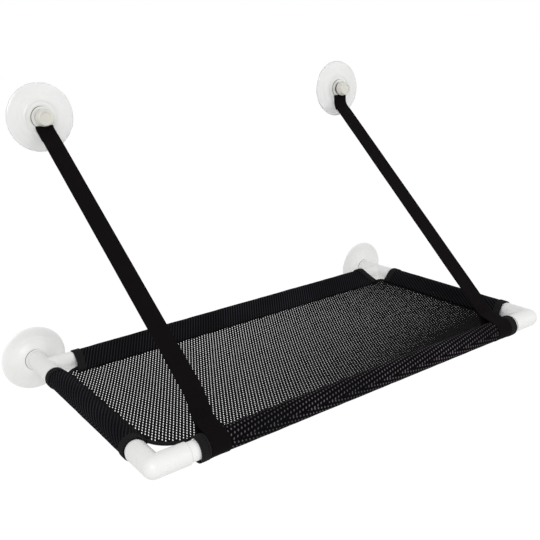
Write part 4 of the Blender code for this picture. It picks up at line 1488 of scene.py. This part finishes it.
class PERCH_OT_bed(bpy.types.Operator):
    """Build the bed's mesh, its sleeves, hems, tapes and seams"""

    bl_idname = "perch.bed"
    bl_label = "Bed"

    def execute(self, context):
        net = build_net()
        trim = []
        sheets = self.build_long_sleeves(context, trim)
        sheets += self.build_side_sleeves(context, trim)
        trim.append(self.build_seams(context))
        cloth = context.scene.perch_cloth
        for obj, length, reach, tube in sheets:
            around = sleeve_section(reach, cloth.edge_drop, cloth.sleeve_radius, 2 * cloth.thickness)[-1][2]
        return {"FINISHED"}

    def build_long_sleeves(self, context, trim):
        """The front and rear sleeves with their hems."""
        cloth = context.scene.perch_cloth
        made = []
        for name, y, sign, centre, half, reach in long_sleeves():
            front = name == "front"
            point = (0, y, 0)
            inward = Y_AXIS * sign
            ends = (centre - half, centre + half)
            slants = (0.0, 0.0) if front else (cloth.rear_slant, -cloth.rear_slant)
            lift = cloth.front_hem_lift if front else cloth.hem_lift
            radius_at = squeezed_radius if front else plain_radius
            node = name + "_sleeve"
            obj = build_sleeve(node + "_cloth", node, point, X_AXIS, inward, ends, slants, radius_at, reach)
            if front:
                cut_slots(obj)
            made.append((obj, 2 * half, reach, name + "_tube_pipe"))
            hems = (("left", ends[0], slants[0]), ("right", ends[1] - cloth.hem_width, slants[1]))
            for label, start, slant in hems:
                node = name + "_sleeve_" + label + "_hem"
                hem = build_hem(node + "_tape", node, point, X_AXIS, inward, start, slant, reach, lift, lift)
                trim.append(hem)
        return made

    def build_side_sleeves(self, context, trim):
        """The side sleeves with their hems, and the tapes at the corners between the sleeves."""
        sizes = context.scene.perch_frame
        cloth = context.scene.perch_cloth
        made = []
        for side, name in SIDES:
            point = (side * sizes.width / 2, 0, 0)
            inward = X_AXIS * -side
            front = on_side(cloth, side, "front")
            slant = on_side(cloth, side, "slant")
            node = name + "_sleeve"
            reach = cloth.side_seam
            ends = (front, cloth.side_rear)
            slants = (slant, 0.0)
            obj = build_sleeve(
                node + "_cloth", node, point, Y_AXIS, inward, ends, slants, plain_radius, reach
            )
            made.append((obj, cloth.side_rear - front, reach, name + "_tube_pipe"))
            hems = (("front", front, slant), ("rear", cloth.side_rear - cloth.hem_width, 0.0))
            lift = cloth.hem_lift
            depth = cloth.side_hem_depth
            for label, start, back in hems:
                hem = node + "_" + label + "_hem"
                piece = build_hem(hem + "_tape", hem, point, Y_AXIS, inward, start, back, reach, lift, depth)
                trim.append(piece)
            arc = corner_arc(side, 12)
            path = [Vector((arc[0].x, front + slant + 0.002))]
            path += [place for place in arc if place.y < front + slant]
            path.append(Vector((cloth.front_shift + side * (cloth.front_half - 0.004), arc[-1].y - 0.0005)))
            node = "front_" + name + "_binding"
            trim.append(build_binding(node + "_tape", node, path))
            node = "rear_" + name + "_binding"
            trim.append(build_binding(node + "_tape", node, rear_tape(side)))
        return made

    def build_seams(self, context):
        """Two rows of thread along each sleeve's seam."""
        cloth = context.scene.perch_cloth
        bm = bmesh.new()
        half_width = context.scene.perch_frame.width / 2
        margin = 0.003
        for inset in (0.0016, 0.0046):
            for _, y, sign, centre, half, seam in long_sleeves():
                height = flap_height(seam, inset, cloth)
                row = y + sign * (seam - inset)
                start = Vector((centre - half + margin, row, height))
                end = Vector((centre + half - margin, row, height))
                add_stitches(bm, start, end, Z_AXIS)
            for side in (-1, 1):
                front = on_side(cloth, side, "front") + on_side(cloth, side, "slant")
                x = side * (half_width - cloth.side_seam + inset)
                height = flap_height(cloth.side_seam, inset, cloth)
                start = Vector((x, front + margin, height))
                end = Vector((x, cloth.side_rear - margin, height))
                add_stitches(bm, start, end, Z_AXIS)
        add_uv(bm)
        obj = add_object("sleeve_seam_threads", bm, tape_material(), SHARP_CLOTH)
        return finish_piece(obj, "frame", "binding_tape")


def long_sleeves():
    """Name, tube's Y, sign of inward, middle X, half length and seam's reach of two sleeves."""
    sizes = bpy.context.scene.perch_frame
    cloth = bpy.context.scene.perch_cloth
    return (
        ("front", sizes.front_axis, 1, cloth.front_shift, cloth.front_half, cloth.front_seam),
        ("rear", sizes.rear_axis, -1, 0.0, cloth.rear_half, cloth.rear_seam),
    )


def squeezed_radius(position):
    """The front sleeve's radius, which the straps' loops draw in."""
    cloth = bpy.context.scene.perch_cloth
    start = 0.0005
    length = 0.004
    gap = min(abs(position - loop_middle(side)) - strap_width(side) / 2 for side in (-1, 1))
    ease = eased((gap - start) / length)
    return cloth.squeezed_radius + (cloth.sleeve_radius - cloth.squeezed_radius) * ease


def flap_height(seam, inset, cloth):
    """The height of a sleeve's upper layer at that distance from its seam."""
    top = Vector((seam, -cloth.edge_drop + cloth.thickness))
    lean = math.asin(cloth.sleeve_radius / top.length)
    slope = lean - math.atan2(top.y, top.x)
    return top.y + inset * math.tan(slope)


class PERCH_OT_straps(bpy.types.Operator):
    """Build the two webbing straps"""

    bl_idname = "perch.straps"
    bl_label = "Straps"

    def execute(self, context):
        for side, name in SIDES:
            build_strap(side, name)
        return {"FINISHED"}


class PERCH_OT_cups(bpy.types.Operator):
    """Build the four suction cups"""

    bl_idname = "perch.cups"
    bl_label = "Suction cups"

    def execute(self, context):
        for side, name in SIDES:
            build_upper_cup(side, name)
            build_lower_cup(side, name)
        return {"FINISHED"}


class PERCH_OT_stage(bpy.types.Operator):
    """Build the camera, the floor and the light"""

    bl_idname = "perch.stage"
    bl_label = "Stage"

    def execute(self, context):
        stage = context.scene.perch_stage
        data = bpy.data.cameras.new("Camera")
        data.lens = stage.focal_length
        data.sensor_width = 36.0
        data.clip_start = 0.01
        data.clip_end = 100.0
        camera = bpy.data.objects.new("Camera", data)
        camera.location = stage.camera_place
        camera.rotation_euler = stage.camera_turn
        context.scene.collection.objects.link(camera)
        context.scene.camera = camera
        bm = bmesh.new()
        bmesh.ops.create_circle(bm, cap_ends=True, segments=64, radius=30.0)
        bmesh.ops.translate(bm, vec=(0, 0, stage.floor_height), verts=bm.verts[:])
        floor = add_object("floor", bm, self.floor_material())
        self.light_world(context, stage)
        self.add_lamp("key", (-1.5, -2.2, 1.4), 1.6, stage.key_power)
        self.add_lamp("fill", (1.3, -2.0, 0.6), 1.8, stage.fill_power)
        context.scene.view_settings.view_transform = "Standard"
        return {"FINISHED"}

    def seen_directly(self, tree):
        """1 where a ray comes from the camera, from gloss or through glass."""
        path = add_node(tree, "ShaderNodeLightPath").outputs
        seen = calculate(tree, "MAXIMUM", path["Is Camera Ray"], path["Is Glossy Ray"])
        return calculate(tree, "MAXIMUM", seen, path["Is Transmission Ray"])

    def floor_material(self):
        """A pale floor that the camera sees as white, with the object's shadow still on it."""
        material = bpy.data.materials.new("Pale floor")
        material.use_nodes = True
        tree = material.node_tree
        tree.nodes.clear()
        seen = self.seen_directly(tree)
        shade = ramp(tree, seen, 0.0, 1.0, 0.85, 0.14)
        diffuse = add_node(tree, "ShaderNodeBsdfDiffuse")
        tree.links.new(shade, diffuse.inputs["Color"])
        strength = calculate(tree, "MULTIPLY", seen, 0.93)
        white = add_node(tree, "ShaderNodeEmission", {"Color": (1.0, 1.0, 1.0, 1.0), "Strength": strength})
        both = add_node(tree, "ShaderNodeAddShader", {0: diffuse.outputs[0], 1: white.outputs[0]})
        output = add_node(tree, "ShaderNodeOutputMaterial")
        tree.links.new(both.outputs[0], output.inputs["Surface"])
        return material

    def light_world(self, context, stage):
        world = bpy.data.worlds.new("Soft white")
        world.use_nodes = True
        tree = world.node_tree
        tree.nodes.clear()
        strength = ramp(tree, self.seen_directly(tree), 0.0, 1.0, stage.world_strength, 1.0)
        inputs = {"Color": (1.0, 1.0, 1.0, 1.0), "Strength": strength}
        background = add_node(tree, "ShaderNodeBackground", inputs)
        output = add_node(tree, "ShaderNodeOutputWorld")
        tree.links.new(background.outputs[0], output.inputs["Surface"])
        context.scene.world = world

    def add_lamp(self, name, place, size, power):
        data = bpy.data.lights.new(name, "AREA")
        data.shape = "DISK"
        data.size = size
        data.energy = power
        lamp = bpy.data.objects.new(name, data)
        lamp.location = place
        aim = Vector((0, -0.18, 0.1)) - Vector(place)
        lamp.rotation_euler = aim.to_track_quat("-Z", "Y").to_euler()
        bpy.context.scene.collection.objects.link(lamp)


class PERCH_PT_panel(bpy.types.Panel):
    """Lists the builders and their settings"""

    bl_idname = "PERCH_PT_panel"
    bl_label = "Window perch"
    bl_space_type = "VIEW_3D"
    bl_region_type = "UI"
    bl_category = "Perch"

    def draw(self, context):
        layout = self.layout
        for operator in OPERATORS:
            layout.operator(operator.bl_idname)
        for name, group in SETTINGS.items():
            box = layout.box()
            box.label(text=group.__name__)
            for key in group.__annotations__:
                box.prop(getattr(context.scene, name), key)


OPERATORS = (
    PERCH_OT_tubes,
    PERCH_OT_fittings,
    PERCH_OT_bed,
    PERCH_OT_cups,
    PERCH_OT_straps,
    PERCH_OT_stage,
)


def register():
    for group in SETTINGS.values():
        bpy.utils.register_class(group)
    for name, group in SETTINGS.items():
        setattr(bpy.types.Scene, name, PointerProperty(type=group))
    for operator in OPERATORS:
        bpy.utils.register_class(operator)
    bpy.utils.register_class(PERCH_PT_panel)


def unregister():
    bpy.utils.unregister_class(PERCH_PT_panel)
    for operator in reversed(OPERATORS):
        bpy.utils.unregister_class(operator)
    for name, group in SETTINGS.items():
        delattr(bpy.types.Scene, name)
        bpy.utils.unregister_class(group)


def main():
    register()
    bpy.ops.perch.tubes()
    bpy.ops.perch.fittings()
    bpy.ops.perch.bed()
    bpy.ops.perch.cups()
    bpy.ops.perch.straps()
    bpy.ops.perch.stage()
    bpy.context.view_layer.update()


if __name__ == "__main__":
    main()
